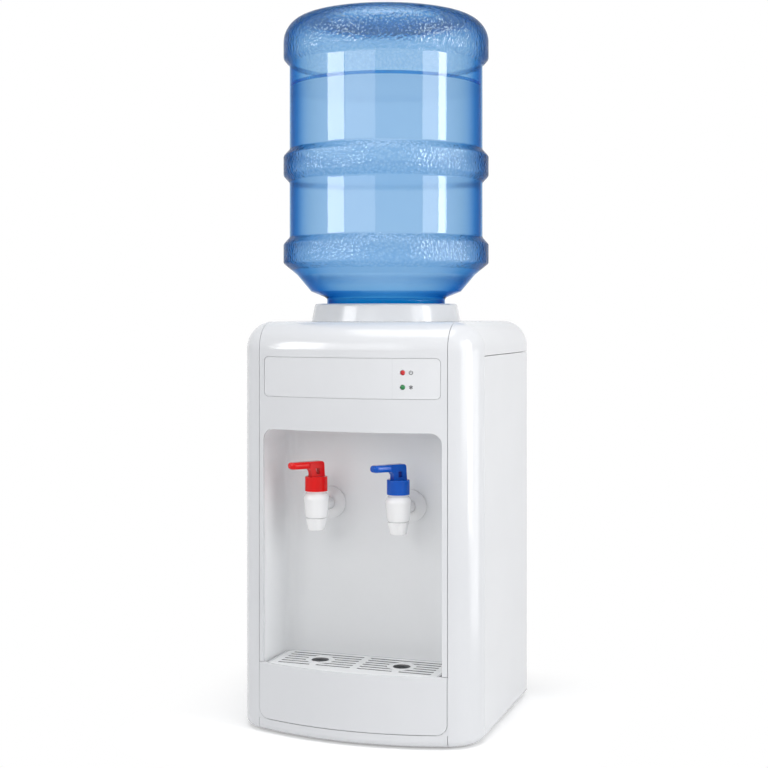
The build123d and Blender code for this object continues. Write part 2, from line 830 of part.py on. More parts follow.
with BuildPart() as bottle_collar:
    with BuildSketch(Plane.XZ) as collar:
        with BuildLine():
            Polyline(
                (collar_base_radius, cabinet_top),
                (collar_top_radius, collar_top),
                (collar_bore, collar_top),
                (collar_bore, cone_z(collar_bore)),
                (collar_hole, cone_z(collar_hole)),
                (collar_hole, collar_low),
                (collar_skirt_radius, collar_low),
                (collar_skirt_radius, cabinet_top),
                close=True,
            )
        make_face()
        fillet(collar.vertices().group_by(Axis.Y)[-1], collar_edge)
    revolve(axis=Axis.Z)
save(bottle_collar.part, "bottle_collar")

# Water guard: the cup under the collar, with the feed probe that opens the bottle's cap.
guard_wall = 2.5
guard_flange = cup_radius + lip
probe_bore = 3.5
with BuildPart() as water_guard:
    with BuildSketch(Plane.XZ):
        with BuildLine():
            Polyline(
                (0, cup_low),
                (cup_radius, cup_low),
                (cup_radius, collar_low - guard_wall),
                (guard_flange, collar_low - guard_wall),
                (guard_flange, collar_low),
                (cup_radius - guard_wall, collar_low),
                (cup_radius - guard_wall, cup_low + guard_wall),
                (probe_radius, cup_low + guard_wall),
                (probe_radius, probe_top - probe_radius),
                (probe_radius / 3, probe_top),
                (0, probe_top),
                close=True,
            )
        make_face()
    revolve(axis=Axis.Z)
    with BuildSketch(Plane.XY.offset(cup_low)):
        Circle(probe_bore)
    extrude(amount=probe_top - 2 * probe_radius - cup_low, mode=Mode.SUBTRACT)
    with BuildSketch(Plane.XY.offset(cup_low)):
        with PolarLocations(cup_radius * 0.6, 6):
            Circle(probe_radius)
    extrude(amount=guard_wall, mode=Mode.SUBTRACT)
save(water_guard.part, "water_guard")

# Cold tank: a drawn steel pot under the feed cup, with two outlet nipples.
nipple_radius = hose_radius - hose_wall - 0.1
nipple_bore = nipple_radius - 1.5
nipple_length = 17.0
transfer_x = -40.0
transfer_y = 30.0
outlets = [(tap_x, tank_y), (transfer_x, transfer_y)]
shelf_thickness = 2.5
shelf_low = tank_low - foam - shelf_thickness
with BuildPart() as cold_tank:
    with BuildSketch(Plane.XY.offset(tank_low)):
        with Locations((0, tank_y)):
            Circle(tank_radius)
    extrude(amount=tank_top - tank_low)
    with BuildSketch(Plane.XY.offset(tank_low + tank_wall)):
        with Locations((0, tank_y)):
            Circle(tank_radius - tank_wall)
    extrude(amount=tank_top, mode=Mode.SUBTRACT)
    with BuildSketch(Plane.XY.offset(tank_low)):
        with Locations(*outlets):
            Circle(nipple_radius)
    extrude(amount=shelf_low - nipple_length - tank_low)
    with BuildSketch(Plane.XY.offset(tank_low + tank_wall)):
        with Locations(*outlets):
            Circle(nipple_bore)
    extrude(amount=shelf_low - nipple_length - tank_low - tank_wall, mode=Mode.SUBTRACT)
save(cold_tank.part, "cold_tank")

with BuildPart() as tank_lid:
    with BuildSketch(Plane.XY.offset(tank_top)):
        with Locations((0, tank_y)):
            Circle(tank_radius)
        Circle(cup_radius + fit, mode=Mode.SUBTRACT)
    extrude(amount=wall)
save(tank_lid.part, "tank_lid")

# Cooling stack behind the tank: block, thermoelectric module, finned sink and fan.
block_half = 25.0
block_back = tank_y + tank_radius + 14
module_half = 20.0
module_depth = 4.0
sink_front = block_back + module_depth
sink_base = 4.0
fan_front = back_inside - 4 - fan_depth
fin_count = 10
fin_thickness = 1.5
with BuildPart() as cold_block:
    block(
        (-block_half, block_half),
        (tank_y, block_back),
        (fan_z - block_half, fan_z + block_half),
    )
    with BuildSketch(Plane.XY):
        with Locations((0, tank_y)):
            Circle(tank_radius + fit / 2)
    extrude(amount=cabinet_top, mode=Mode.SUBTRACT)
save(cold_block.part, "cold_block")

with BuildPart() as peltier_module:
    block(
        (-module_half, module_half),
        (block_back, sink_front),
        (fan_z - module_half, fan_z + module_half),
    )
save(peltier_module.part, "peltier_module")

with BuildPart() as heat_sink:
    block(
        (-sink_size / 2, sink_size / 2),
        (sink_front, sink_front + sink_base),
        (fan_z - sink_size / 2, fan_z + sink_size / 2),
    )
    fin_depth = fan_front - sink_front - sink_base
    with Locations((0, sink_front + sink_base + fin_depth / 2, fan_z)):
        with GridLocations((sink_size - fin_thickness) / (fin_count - 1), 1, fin_count, 1):
            Box(fin_thickness, fin_depth, sink_size)
save(heat_sink.part, "heat_sink")

fan_radius = fan_size / 2 - 2
hub_radius = 14.0
arm_width = 4.0
arm_depth = 3.0
shaft_radius = 2.0
fan_back = fan_front + fan_depth
fan_plane = Plane((0, fan_back, fan_z), x_dir=(1, 0, 0), z_dir=(0, -1, 0))
with BuildPart() as fan_frame:
    with BuildSketch(fan_plane):
        RectangleRounded(fan_size, fan_size, arm_width)
        Circle(fan_radius, mode=Mode.SUBTRACT)
    extrude(amount=fan_depth)
    with BuildSketch(fan_plane):
        Circle(hub_radius)
        Rectangle(fan_size - arm_width, arm_width)
        Rectangle(arm_width, fan_size - arm_width)
    extrude(amount=arm_depth)
    with BuildSketch(fan_plane):
        Circle(shaft_radius)
    extrude(amount=fan_depth - arm_depth)
save(fan_frame.part, "fan_frame")

blade_count = 7
blade_thickness = 1.5
blade_tilt = math.radians(40)
rotor_depth = fan_depth - arm_depth - 3
rotor_plane = fan_plane.offset(arm_depth + 1)
with BuildPart() as fan_rotor:
    for blade in range(blade_count):
        angle = 2 * math.pi * blade / blade_count
        outward = Vector(math.cos(angle), 0, math.sin(angle))
        sideways = Vector(-math.sin(angle), 0, math.cos(angle))
        chord = sideways * math.cos(blade_tilt) + Vector(0, -1, 0) * math.sin(blade_tilt)
        root = Vector(0, fan_back - arm_depth - 1 - rotor_depth / 2, fan_z) + outward * hub_radius / 2
        with BuildSketch(Plane(root, x_dir=chord, z_dir=outward)):
            Rectangle(rotor_depth * 1.1, blade_thickness)
        extrude(amount=fan_radius - 1.5 - hub_radius / 2)
    with BuildSketch(rotor_plane):
        Circle(hub_radius)
    extrude(amount=rotor_depth)
    with BuildSketch(rotor_plane):
        Circle(shaft_radius + running_gap)
    extrude(amount=rotor_depth - 1, mode=Mode.SUBTRACT)
save(fan_rotor.part, "fan_rotor")

# Foam jacket round the cold tank, open at the back for the cold block.
with BuildPart() as tank_foam:
    with BuildSketch(Plane.XY.offset(tank_low - foam)):
        with Locations((0, tank_y)):
            Circle(tank_radius + foam)
    extrude(amount=tank_top - tank_low + foam)
    with BuildSketch(Plane.XY.offset(tank_low)):
        with Locations((0, tank_y)):
            Circle(tank_radius + fit / 2)
    extrude(amount=tank_top, mode=Mode.SUBTRACT)
    with BuildSketch(Plane.XY):
        with Locations(*outlets):
            Circle(nipple_radius + fit)
    extrude(amount=tank_top, mode=Mode.SUBTRACT)
    block(
        (-block_half - fit, block_half + fit),
        (tank_y, block_back),
        (fan_z - block_half - fit, fan_z + block_half + fit),
        Mode.SUBTRACT,
    )
save(tank_foam.part, "tank_foam")

# Shelf: a folded sheet between the side panels that carries the cold tank.
shelf_half = half_width - wall - fit
shelf_flange = 18.0
shelf_front = bay_back - bay_wall - 4
shelf_back = tank_y + tank_radius + foam
with BuildPart() as tank_shelf:
    block((-shelf_half, shelf_half), (-shelf_front, shelf_back), (shelf_low, shelf_low + shelf_thickness))
    for side in (-1, 1):
        flange = sorted((side * shelf_half, side * (shelf_half - shelf_thickness)))
        block(flange, (-shelf_front, shelf_back), (shelf_low - shelf_flange, shelf_low))
    with BuildSketch(Plane.XY):
        with Locations(*outlets):
            Circle(nipple_radius + fit)
    extrude(amount=cabinet_top, mode=Mode.SUBTRACT)
save(tank_shelf.part, "tank_shelf")

# Hot tank: a closed steel pot on a folded stand, with two nipples on top and a drain below.
hot_x = -tap_x
inlets = [(hot_x, hot_tank_y), (transfer_x, transfer_y)]
drain_nipple = 20.0
inlet_nipple = shank_z - hose_bend - hot_tank_top - 2 * fit
with BuildPart() as hot_tank:
    with BuildSketch(Plane.XY.offset(hot_tank_low)):
        with Locations((hot_x, hot_tank_y)):
            Circle(hot_tank_radius)
    extrude(amount=hot_tank_top - hot_tank_low)
    with BuildSketch(Plane.XY.offset(hot_tank_low + tank_wall)):
        with Locations((hot_x, hot_tank_y)):
            Circle(hot_tank_radius - tank_wall)
    extrude(amount=hot_tank_top - hot_tank_low - 2 * tank_wall, mode=Mode.SUBTRACT)
    with BuildSketch(Plane.XY.offset(hot_tank_top)):
        with Locations(*inlets):
            Circle(nipple_radius)
    extrude(amount=inlet_nipple)
    with BuildSketch(Plane.XY.offset(hot_tank_low)):
        with Locations((hot_x, hot_tank_y)):
            Circle(nipple_radius)
    extrude(amount=-drain_nipple)
    with BuildSketch(Plane.XY.offset(hot_tank_top - tank_wall)):
        with Locations(*inlets):
            Circle(nipple_bore)
    extrude(amount=inlet_nipple + tank_wall, mode=Mode.SUBTRACT)
    with BuildSketch(Plane.XY.offset(hot_tank_low + tank_wall)):
        with Locations((hot_x, hot_tank_y)):
            Circle(nipple_bore)
    extrude(amount=-drain_nipple - tank_wall, mode=Mode.SUBTRACT)
save(hot_tank.part, "hot_tank")

# Heater band and thermostat, strapped to the hot tank.
band_low = hot_tank_low + 30
band_height = 30.0
band_thickness = 3.0
with BuildPart() as heater_band:
    with BuildSketch(Plane.XY.offset(band_low)):
        with Locations((hot_x, hot_tank_y)):
            Circle(hot_tank_radius + band_thickness)
            Circle(hot_tank_radius + fit / 2, mode=Mode.SUBTRACT)
    extrude(amount=band_height)
save(heater_band.part, "heater_band")

thermostat_radius = 8.0
thermostat_depth = 10.0
thermostat_z = hot_tank_top - 35
tank_side = hot_x + hot_tank_radius
with BuildPart() as thermostat:
    with BuildSketch(Plane((tank_side - 2, hot_tank_y, thermostat_z), x_dir=(0, 1, 0), z_dir=(1, 0, 0))):
        Circle(thermostat_radius)
    extrude(amount=thermostat_depth)
    with BuildSketch(Plane.XY.offset(hot_tank_low)):
        with Locations((hot_x, hot_tank_y)):
            Circle(hot_tank_radius + fit / 2)
    extrude(amount=hot_tank_top, mode=Mode.SUBTRACT)
save(thermostat.part, "thermostat")

stand_half = 45.0
stand_depth = 35.0
stand_foot = 12.0
with BuildPart() as hot_tank_stand:
    stand_y = (hot_tank_y - stand_depth, hot_tank_y + stand_depth)
    top_low = hot_tank_low - shelf_thickness
    block((hot_x - stand_half, hot_x + stand_half), stand_y, (top_low, hot_tank_low))
    for side in (-1, 1):
        leg_x = hot_x + side * stand_half
        leg = sorted((leg_x, leg_x - side * shelf_thickness))
        foot = sorted((leg_x - side * shelf_thickness, leg_x + side * stand_foot))
        block(leg, stand_y, (floor_top, top_low))
        block(foot, stand_y, (floor_top, floor_top + shelf_thickness))
    with BuildSketch(Plane.XY.offset(top_low)):
        with Locations((hot_x, hot_tank_y)):
            Circle(hose_radius + fit)
    extrude(amount=shelf_thickness, mode=Mode.SUBTRACT)
save(hot_tank_stand.part, "hot_tank_stand")

# Silicone hoses from the tanks to the taps, and the drain pipe to the back.
hose_gap = 0.2
cold_route = [(tap_x, -shank_end, shank_z), (tap_x, tank_y, shank_z), (tap_x, tank_y, shelf_low - hose_gap)]
hot_route = [(hot_x, -shank_end, shank_z), (hot_x, hot_tank_y, shank_z), (hot_x, hot_tank_y, hot_tank_top + hose_gap)]
drain_end = axis_to_back + drain_reach - 4
drain_route = [(hot_x, hot_tank_y, top_low - hose_gap), (hot_x, hot_tank_y, drain_z), (hot_x, drain_end, drain_z)]
for hose_name, route in (("cold_hose", cold_route), ("hot_hose", hot_route), ("drain_pipe", drain_route)):
    with BuildPart() as hose:
        with BuildLine() as hose_line:
            FilletPolyline(*route, radius=hose_bend)
        with BuildSketch(Plane(route[0], z_dir=hose_line.line % 0)):
            Circle(hose_radius)
            Circle(hose_radius - hose_wall, mode=Mode.SUBTRACT)
        sweep(path=hose_line.line)
    save(hose.part, hose_name)

with BuildPart() as transfer_hose:
    with BuildSketch(Plane.XY.offset(hot_tank_top + hose_gap)):
        with Locations((transfer_x, transfer_y)):
            Circle(hose_radius)
            Circle(hose_radius - hose_wall, mode=Mode.SUBTRACT)
    extrude(amount=shelf_low - hot_tank_top - 2 * hose_gap)
save(transfer_hose.part, "transfer_hose")

# Drain cap: closes the drain pipe at the back and pulls off to empty the tank.
cap_radius = 11.0
cap_end = axis_to_back + drain_reach
drain_cap_plane = Plane((hot_x, cap_end, drain_z), x_dir=(1, 0, 0), z_dir=(0, -1, 0))
with BuildPart() as drain_cap:
    with BuildSketch(drain_cap_plane):
        Circle(cap_radius)
        with PolarLocations(cap_radius, 12):
            Circle(1.2, mode=Mode.SUBTRACT)
    extrude(amount=drain_reach - fit)
    with BuildSketch(drain_cap_plane.offset(wall)):
        Circle(hose_radius + fit)
    extrude(amount=drain_reach, mode=Mode.SUBTRACT)
save(drain_cap.part, "drain_cap")

# Power board: on standoffs on the right side panel, with its transformer and capacitors.
board_x = half_width - wall - 12
board_back = 80.0
board_low = 60.0
board_top = 180.0
with BuildPart() as power_board:
    block((board_x - board_thickness, board_x), (0, board_back), (board_low, board_top))
    block((board_x - 28, board_x - board_thickness), (12, 52), (board_low + 12, board_low + 54))
    with BuildSketch(Plane((board_x - board_thickness, 0, 0), x_dir=(0, -1, 0), z_dir=(-1, 0, 0))):
        with Locations((-22, board_top - 24), (-46, board_top - 24), (-64, board_top - 50)):
            Circle(7)
    extrude(amount=20)
    with BuildSketch(Plane((board_x, 0, 0), x_dir=(0, 1, 0), z_dir=(1, 0, 0))):
        for corner_y in (6, board_back - 6):
            with Locations((corner_y, board_low + 6), (corner_y, board_top - 6)):
                Circle(standoff_radius)
    extrude(amount=half_width - wall - board_x)
save(power_board.part, "power_board")

# Rear panel: a flat sheet with air slots, drilled for the switches, gland, drain and screws.
screw_places = [(side * screw_x, row) for side in (-1, 1) for row in screw_rows]
screw_head_radius = 3.5
screw_head = 2.2
screw_length = 8.0
gland_x = 100.0
gland_radius = 7.8
vent_width = 72.0
vent_height = 4.0
vent_pitch = 8.0
vent_count = 9
intake_x = 45.0
intake_z = 150.0
intake_count = 5
switch_width = 13.0
switch_height = 19.0
switch_places = [(switch_x, heat_switch_z), (switch_x, cool_switch_z)]
rear_plane = Plane((0, axis_to_back, 0), x_dir=(-1, 0, 0), z_dir=(0, 1, 0))
with BuildPart() as rear_panel:
    panel_half = half_width - wall - fit
    block((-panel_half, panel_half), (back_inside, axis_to_back), (floor_gap, skirt_z - seam / 2))
    with BuildSketch(rear_plane):
        with Locations((0, fan_z)):
            with GridLocations(1, vent_pitch, 1, vent_count):
                SlotOverall(vent_width, vent_height)
        with Locations((-intake_x, intake_z)):
            with GridLocations(1, vent_pitch, 1, intake_count):
                SlotOverall(vent_width, vent_height)
        with Locations(*[(-x, z) for x, z in switch_places]):
            Rectangle(switch_width + fit, switch_height + fit)
        with Locations((-gland_x, gland_z)):
            Circle(gland_radius + fit / 2)
        with Locations((-hot_x, drain_z)):
            Circle(hose_radius + fit)
        with Locations(*screw_places):
            Circle(screw_radius + fit / 2)
    extrude(amount=-wall, mode=Mode.SUBTRACT)
save(rear_panel.part, "rear_panel")

# Screws that hold the rear panel to the flanges of the side panels.
with BuildPart() as panel_screws:
    for place_x, place_z in screw_places:
        screw_plane = Plane((place_x, axis_to_back, place_z), x_dir=(-1, 0, 0), z_dir=(0, 1, 0))
        with BuildSketch(screw_plane):
            Circle(screw_head_radius)
        extrude(amount=screw_head)
        with BuildSketch(screw_plane):
            Circle(screw_radius)
        extrude(amount=-screw_length)
save(panel_screws.part, "panel_screws")

# Rocker switches: two housings in the rear panel, each with a rocker on stub axles.
bezel = 1.2
bezel_depth = 2.0
housing_depth = 22.0
rocker_width = 9.4
rocker_radius = 7.6
rocker_pivot = axis_to_back - 2.0
rocker_face = 4.5
axle_radius = 1.2
axle_length = 1.0
with BuildPart() as switch_housings:
    for place_x, place_z in switch_places:
        switch_plane = Plane((place_x, axis_to_back, place_z), x_dir=(-1, 0, 0), z_dir=(0, 1, 0))
        with BuildSketch(switch_plane):
            RectangleRounded(switch_width + 2 * bezel, switch_height + 2 * bezel, bezel)
        extrude(amount=bezel_depth)
        with BuildSketch(switch_plane):
            Rectangle(switch_width, switch_height)
        extrude(amount=-housing_depth)
        with BuildSketch(switch_plane.offset(bezel_depth)):
            Rectangle(rocker_width + 2 * fit, 2 * (rocker_radius + fit))
        extrude(amount=-housing_depth / 2 - bezel_depth, mode=Mode.SUBTRACT)
        with BuildSketch(Plane((place_x, rocker_pivot, place_z), x_dir=(0, 1, 0), z_dir=(1, 0, 0))):
            Circle(axle_radius + running_gap)
        extrude(amount=rocker_width / 2 + axle_length + fit, both=True, mode=Mode.SUBTRACT)
save(switch_housings.part, "switch_housings")

for rocker_name, place_z in (("heat_rocker", heat_switch_z), ("cool_rocker", cool_switch_z)):
    pivot_plane = Plane((switch_x, rocker_pivot, place_z), x_dir=(0, 1, 0), z_dir=(1, 0, 0))
    with BuildPart() as rocker:
        with BuildSketch(pivot_plane):
            Circle(rocker_radius)
            with Locations((rocker_face + rocker_radius, 0)):
                Rectangle(2 * rocker_radius, 2 * rocker_radius, mode=Mode.SUBTRACT)
        extrude(amount=rocker_width / 2, both=True)
        with BuildSketch(pivot_plane):
            Circle(axle_radius)
        extrude(amount=rocker_width / 2 + axle_length, both=True)
    save(rocker.part, rocker_name)

# Cord gland: a flanged bush in the rear panel, with an open bore for a mains lead.
gland_bore = 3.7
gland_flange = 11.0
gland_reach = 10.0
with BuildPart() as cord_gland:
    with BuildSketch(Plane.XY.offset(gland_z)):
        with BuildLine():
            Polyline(
                (gland_bore, back_inside - wall),
                (gland_flange - 1, back_inside - wall),
                (gland_flange - 1, back_inside),
                (gland_radius, back_inside),
                (gland_radius, axis_to_back),
                (gland_flange, axis_to_back),
                (gland_flange, axis_to_back + wall),
                (gland_radius - 1, axis_to_back + gland_reach),
                (gland_bore, axis_to_back + gland_reach),
                close=True,
            )
        make_face()
    revolve(axis=Axis((0, 0, gland_z), (0, 1, 0)))
save(cord_gland.part.moved(Location((gland_x, 0, 0))), "cord_gland")

# Rubber feet under the base pan.
with BuildPart() as rubber_feet:
    foot_x = half_width - foot_inset
    foot_places = [(side * foot_x, y) for side in (-1, 1) for y in (foot_inset - axis_to_front, axis_to_back - foot_inset)]
    with BuildSketch(Plane.XY):
        with Locations(*foot_places):
            Circle(foot_diameter / 2)
    extrude(amount=floor_gap + wall)
save(rubber_feet.part, "rubber_feet")
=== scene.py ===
"""Looks of a countertop water dispenser with an upturned bottle, dressed over its solids, in metres."""
import json
import math

import bmesh
import bpy
from mathutils import Matrix, Vector


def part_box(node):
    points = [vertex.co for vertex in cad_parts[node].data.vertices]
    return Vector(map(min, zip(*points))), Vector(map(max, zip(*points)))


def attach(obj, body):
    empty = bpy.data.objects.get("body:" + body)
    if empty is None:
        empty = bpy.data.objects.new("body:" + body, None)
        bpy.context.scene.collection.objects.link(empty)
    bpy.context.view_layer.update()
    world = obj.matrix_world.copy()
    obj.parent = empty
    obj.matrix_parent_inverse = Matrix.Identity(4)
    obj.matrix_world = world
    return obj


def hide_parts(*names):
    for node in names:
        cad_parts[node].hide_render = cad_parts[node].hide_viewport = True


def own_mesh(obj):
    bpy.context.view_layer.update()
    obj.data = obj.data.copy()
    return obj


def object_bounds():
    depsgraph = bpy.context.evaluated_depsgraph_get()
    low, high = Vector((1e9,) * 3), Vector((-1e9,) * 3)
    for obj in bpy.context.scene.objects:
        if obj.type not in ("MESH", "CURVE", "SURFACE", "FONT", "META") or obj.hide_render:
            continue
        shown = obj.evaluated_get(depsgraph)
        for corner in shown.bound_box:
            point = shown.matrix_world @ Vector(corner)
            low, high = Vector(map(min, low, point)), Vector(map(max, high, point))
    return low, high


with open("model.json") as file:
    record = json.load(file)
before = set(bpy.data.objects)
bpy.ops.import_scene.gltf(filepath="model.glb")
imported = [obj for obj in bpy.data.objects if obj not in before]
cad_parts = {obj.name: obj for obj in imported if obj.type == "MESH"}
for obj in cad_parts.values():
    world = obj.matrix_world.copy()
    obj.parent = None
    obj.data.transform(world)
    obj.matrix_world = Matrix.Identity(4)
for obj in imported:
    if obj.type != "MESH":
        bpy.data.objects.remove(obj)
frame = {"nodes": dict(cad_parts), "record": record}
cad_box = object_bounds()

# Studio: a seamless white sweep with soft lamps, as round a product on a lightbox.
# Surfaces take a low even fill from the world, while lenses and gloss see the white backdrop.
scene = bpy.context.scene
scene.view_settings.view_transform = "Standard"


def backdrop_rays(tree):
    """A socket that is 1 for rays of the camera, of gloss and of clear pieces, and 0 for other light."""
    rays = tree.nodes.new("ShaderNodeLightPath")
    seen = tree.nodes.new("ShaderNodeMath")
    seen.operation = "MAXIMUM"
    seen_through = tree.nodes.new("ShaderNodeMath")
    seen_through.operation = "MAXIMUM"
    tree.links.new(rays.outputs["Is Camera Ray"], seen.inputs[0])
    tree.links.new(rays.outputs["Is Glossy Ray"], seen.inputs[1])
    tree.links.new(seen.outputs[0], seen_through.inputs[0])
    tree.links.new(rays.outputs["Is Transmission Ray"], seen_through.inputs[1])
    return seen_through.outputs[0]


world = bpy.data.worlds.new("studio_white")
scene.world = world
world.use_nodes = True
world_tree = world.node_tree
world_tree.nodes.clear()
world_out = world_tree.nodes.new("ShaderNodeOutputWorld")
world_mix = world_tree.nodes.new("ShaderNodeMixShader")
world_fill = world_tree.nodes.new("ShaderNodeBackground")
world_fill.inputs["Color"].default_value = (0.97, 0.98, 1.0, 1)
world_fill.inputs["Strength"].default_value = 0.40
world_white = world_tree.nodes.new("ShaderNodeBackground")
world_white.inputs["Color"].default_value = (1, 1, 1, 1)
world_white.inputs["Strength"].default_value = 1.0
world_tree.links.new(backdrop_rays(world_tree), world_mix.inputs["Fac"])
world_tree.links.new(world_fill.outputs[0], world_mix.inputs[1])
world_tree.links.new(world_white.outputs[0], world_mix.inputs[2])
world_tree.links.new(world_mix.outputs[0], world_out.inputs["Surface"])


def softbox(name, place, aim, size, watts, gleam=True, fill=True):
    """A rectangular studio lamp at a place, turned to an aim. It can show in gloss, lift tones, or both."""
    lamp = bpy.data.lights.new(name, "AREA")
    lamp.shape = "RECTANGLE"
    lamp.size = size[0]
    lamp.size_y = size[1]
    lamp.energy = watts
    holder = bpy.data.objects.new(name, lamp)
    scene.collection.objects.link(holder)
    holder.location = place
    holder.rotation_euler = (Vector(aim) - Vector(place)).to_track_quat("-Z", "Y").to_euler()
    holder.visible_camera = False
    holder.visible_transmission = False
    holder.visible_glossy = gleam
    holder.visible_diffuse = fill


softbox("left_softbox", (-1.43, -1.67, 1.00), (0, 0, 1.00), size=(0.85, 0.88), watts=19, fill=False)
softbox("left_veil", (-0.45, -2.31, 1.02), (0, 0, 1.02), size=(1.5, 0.85), watts=8, fill=False)
softbox("right_strip", (1.90, -0.12, 0.70), (0, 0, 0.50), size=(0.36, 1.6), watts=16, fill=False)
softbox("pillar_strip", (0.71, 0.08, 0.24), (0.14, -0.10, 0.24), size=(0.34, 0.48), watts=1.25, fill=False)
softbox("left_fill", (-1.55, -1.45, 0.90), (0, 0, 0.45), size=(1.0, 1.2), watts=4, gleam=False)
softbox("right_fill", (1.72, -0.46, 0.80), (0, 0, 0.45), size=(0.9, 1.3), watts=14)
softbox("top_softbox", (0.1, -0.5, 2.0), (0, 0, 0.4), size=(1.3, 1.1), watts=14.5)
softbox("front_fill", (-0.50, -2.35, 1.25), (0, 0, 0.40), size=(1.3, 1.1), watts=11, gleam=False)
softbox("rear_fill", (-0.40, 2.30, 1.10), (0, 0, 0.40), size=(1.3, 1.1), watts=6, gleam=False)

# Floor: the near end of the sweep, a matt white sheet that holds the contact shadow.
# Away from the cabinet it fades into the white of the backdrop.
floor_half = 6.0
floor_tone = (0.86, 0.86, 0.86, 1)
floor_lift = 0.28
shadow_reach = 0.16
stand_half_x = 0.15
stand_half_y = 0.14
floor_paint = bpy.data.materials.new("floor_paint")
floor_paint.use_nodes = True
floor_tree = floor_paint.node_tree
floor_shader = floor_tree.nodes["Principled BSDF"]
floor_shader.inputs["Base Color"].default_value = floor_tone
floor_shader.inputs["Roughness"].default_value = 0.9
floor_shader.inputs["Specular IOR Level"].default_value = 0.0
floor_shader.inputs["Emission Color"].default_value = (1, 1, 1, 1)
floor_shader.inputs["Emission Strength"].default_value = floor_lift
floor_dull = floor_tree.nodes.new("ShaderNodeBsdfDiffuse")
floor_dull.inputs["Color"].default_value = floor_tone
floor_white = floor_tree.nodes.new("ShaderNodeEmission")
floor_place = floor_tree.nodes.new("ShaderNodeTexCoord")
floor_far = floor_tree.nodes.new("ShaderNodeVectorMath")
floor_far.operation = "ABSOLUTE"
floor_edge = floor_tree.nodes.new("ShaderNodeVectorMath")
floor_edge.operation = "SUBTRACT"
floor_edge.inputs[1].default_value = (stand_half_x, stand_half_y, 0)
floor_out = floor_tree.nodes.new("ShaderNodeVectorMath")
floor_out.operation = "MAXIMUM"
floor_gap = floor_tree.nodes.new("ShaderNodeVectorMath")
floor_gap.operation = "LENGTH"
floor_fade = floor_tree.nodes.new("ShaderNodeMapRange")
floor_fade.interpolation_type = "SMOOTHSTEP"
floor_fade.inputs["From Max"].default_value = shadow_reach
floor_near = floor_tree.nodes.new("ShaderNodeMixShader")
floor_mix = floor_tree.nodes.new("ShaderNodeMixShader")
floor_tree.links.new(floor_place.outputs["Object"], floor_far.inputs[0])
floor_tree.links.new(floor_far.outputs[0], floor_edge.inputs[0])
floor_tree.links.new(floor_edge.outputs[0], floor_out.inputs[0])
floor_tree.links.new(floor_out.outputs[0], floor_gap.inputs[0])
floor_tree.links.new(floor_gap.outputs["Value"], floor_fade.inputs["Value"])
floor_tree.links.new(floor_fade.outputs["Result"], floor_near.inputs["Fac"])
floor_tree.links.new(floor_shader.outputs[0], floor_near.inputs[1])
floor_tree.links.new(floor_white.outputs[0], floor_near.inputs[2])
floor_tree.links.new(backdrop_rays(floor_tree), floor_mix.inputs["Fac"])
floor_tree.links.new(floor_dull.outputs[0], floor_mix.inputs[1])
floor_tree.links.new(floor_near.outputs[0], floor_mix.inputs[2])
floor_tree.links.new(floor_mix.outputs[0], floor_tree.nodes["Material Output"].inputs["Surface"])


def make(name, form, finish):
    """Turn a form into an object of its own, in one finish."""
    mesh = bpy.data.meshes.new(name)
    form.to_mesh(mesh)
    form.free()
    mesh.materials.append(finish)
    piece = bpy.data.objects.new(name, mesh)
    scene.collection.objects.link(piece)
    return piece


floor_form = bmesh.new()
bmesh.ops.create_grid(floor_form, x_segments=1, y_segments=1, size=floor_half)
studio_floor = make("studio_floor", floor_form, floor_paint)

# Camera: a long lens at about the height of the cabinet's top, a little to the right of the front.
# It looks level, and its shift keeps the whole object in the frame with the uprights upright.
camera_turn = math.radians(18.95)
camera_distance = 1.86366
camera_height = 0.52866
camera_data = bpy.data.cameras.new("photo_camera")
camera_data.sensor_width = 36.0
camera_data.lens = 66.203
camera_data.shift_x = -0.00273
camera_data.shift_y = -0.0942
camera = bpy.data.objects.new("photo_camera", camera_data)
scene.collection.objects.link(camera)
camera.location = (
    camera_distance * math.sin(camera_turn),
    -camera_distance * math.cos(camera_turn),
    camera_height,
)
camera.rotation_euler = (math.pi / 2, 0, camera_turn)
scene.camera = camera

# Cabinet: a base pan, two rounded pillars, flat sides, a top with skirts and a bowed fascia.
# Glossy white moulded plastic. The mouldings meet at fine seams, and the flat ones have slightly round edges.
nodes = frame["nodes"]
body_of = {node: body for body, members in frame["record"]["behaviour"]["bodies"].items() for node in members}


def ramp(tree, stops):
    """A run of colours through stops, each of them a place from 0 to 1 and the colour there."""
    run = tree.nodes.new("ShaderNodeValToRGB")
    band = run.color_ramp.elements
    for end, (place, colour) in zip(band, (stops[0], stops[-1])):
        end.position = place
        end.color = (*colour, 1)
    for place, colour in stops[1:-1]:
        band.new(place).color = (*colour, 1)
    return run


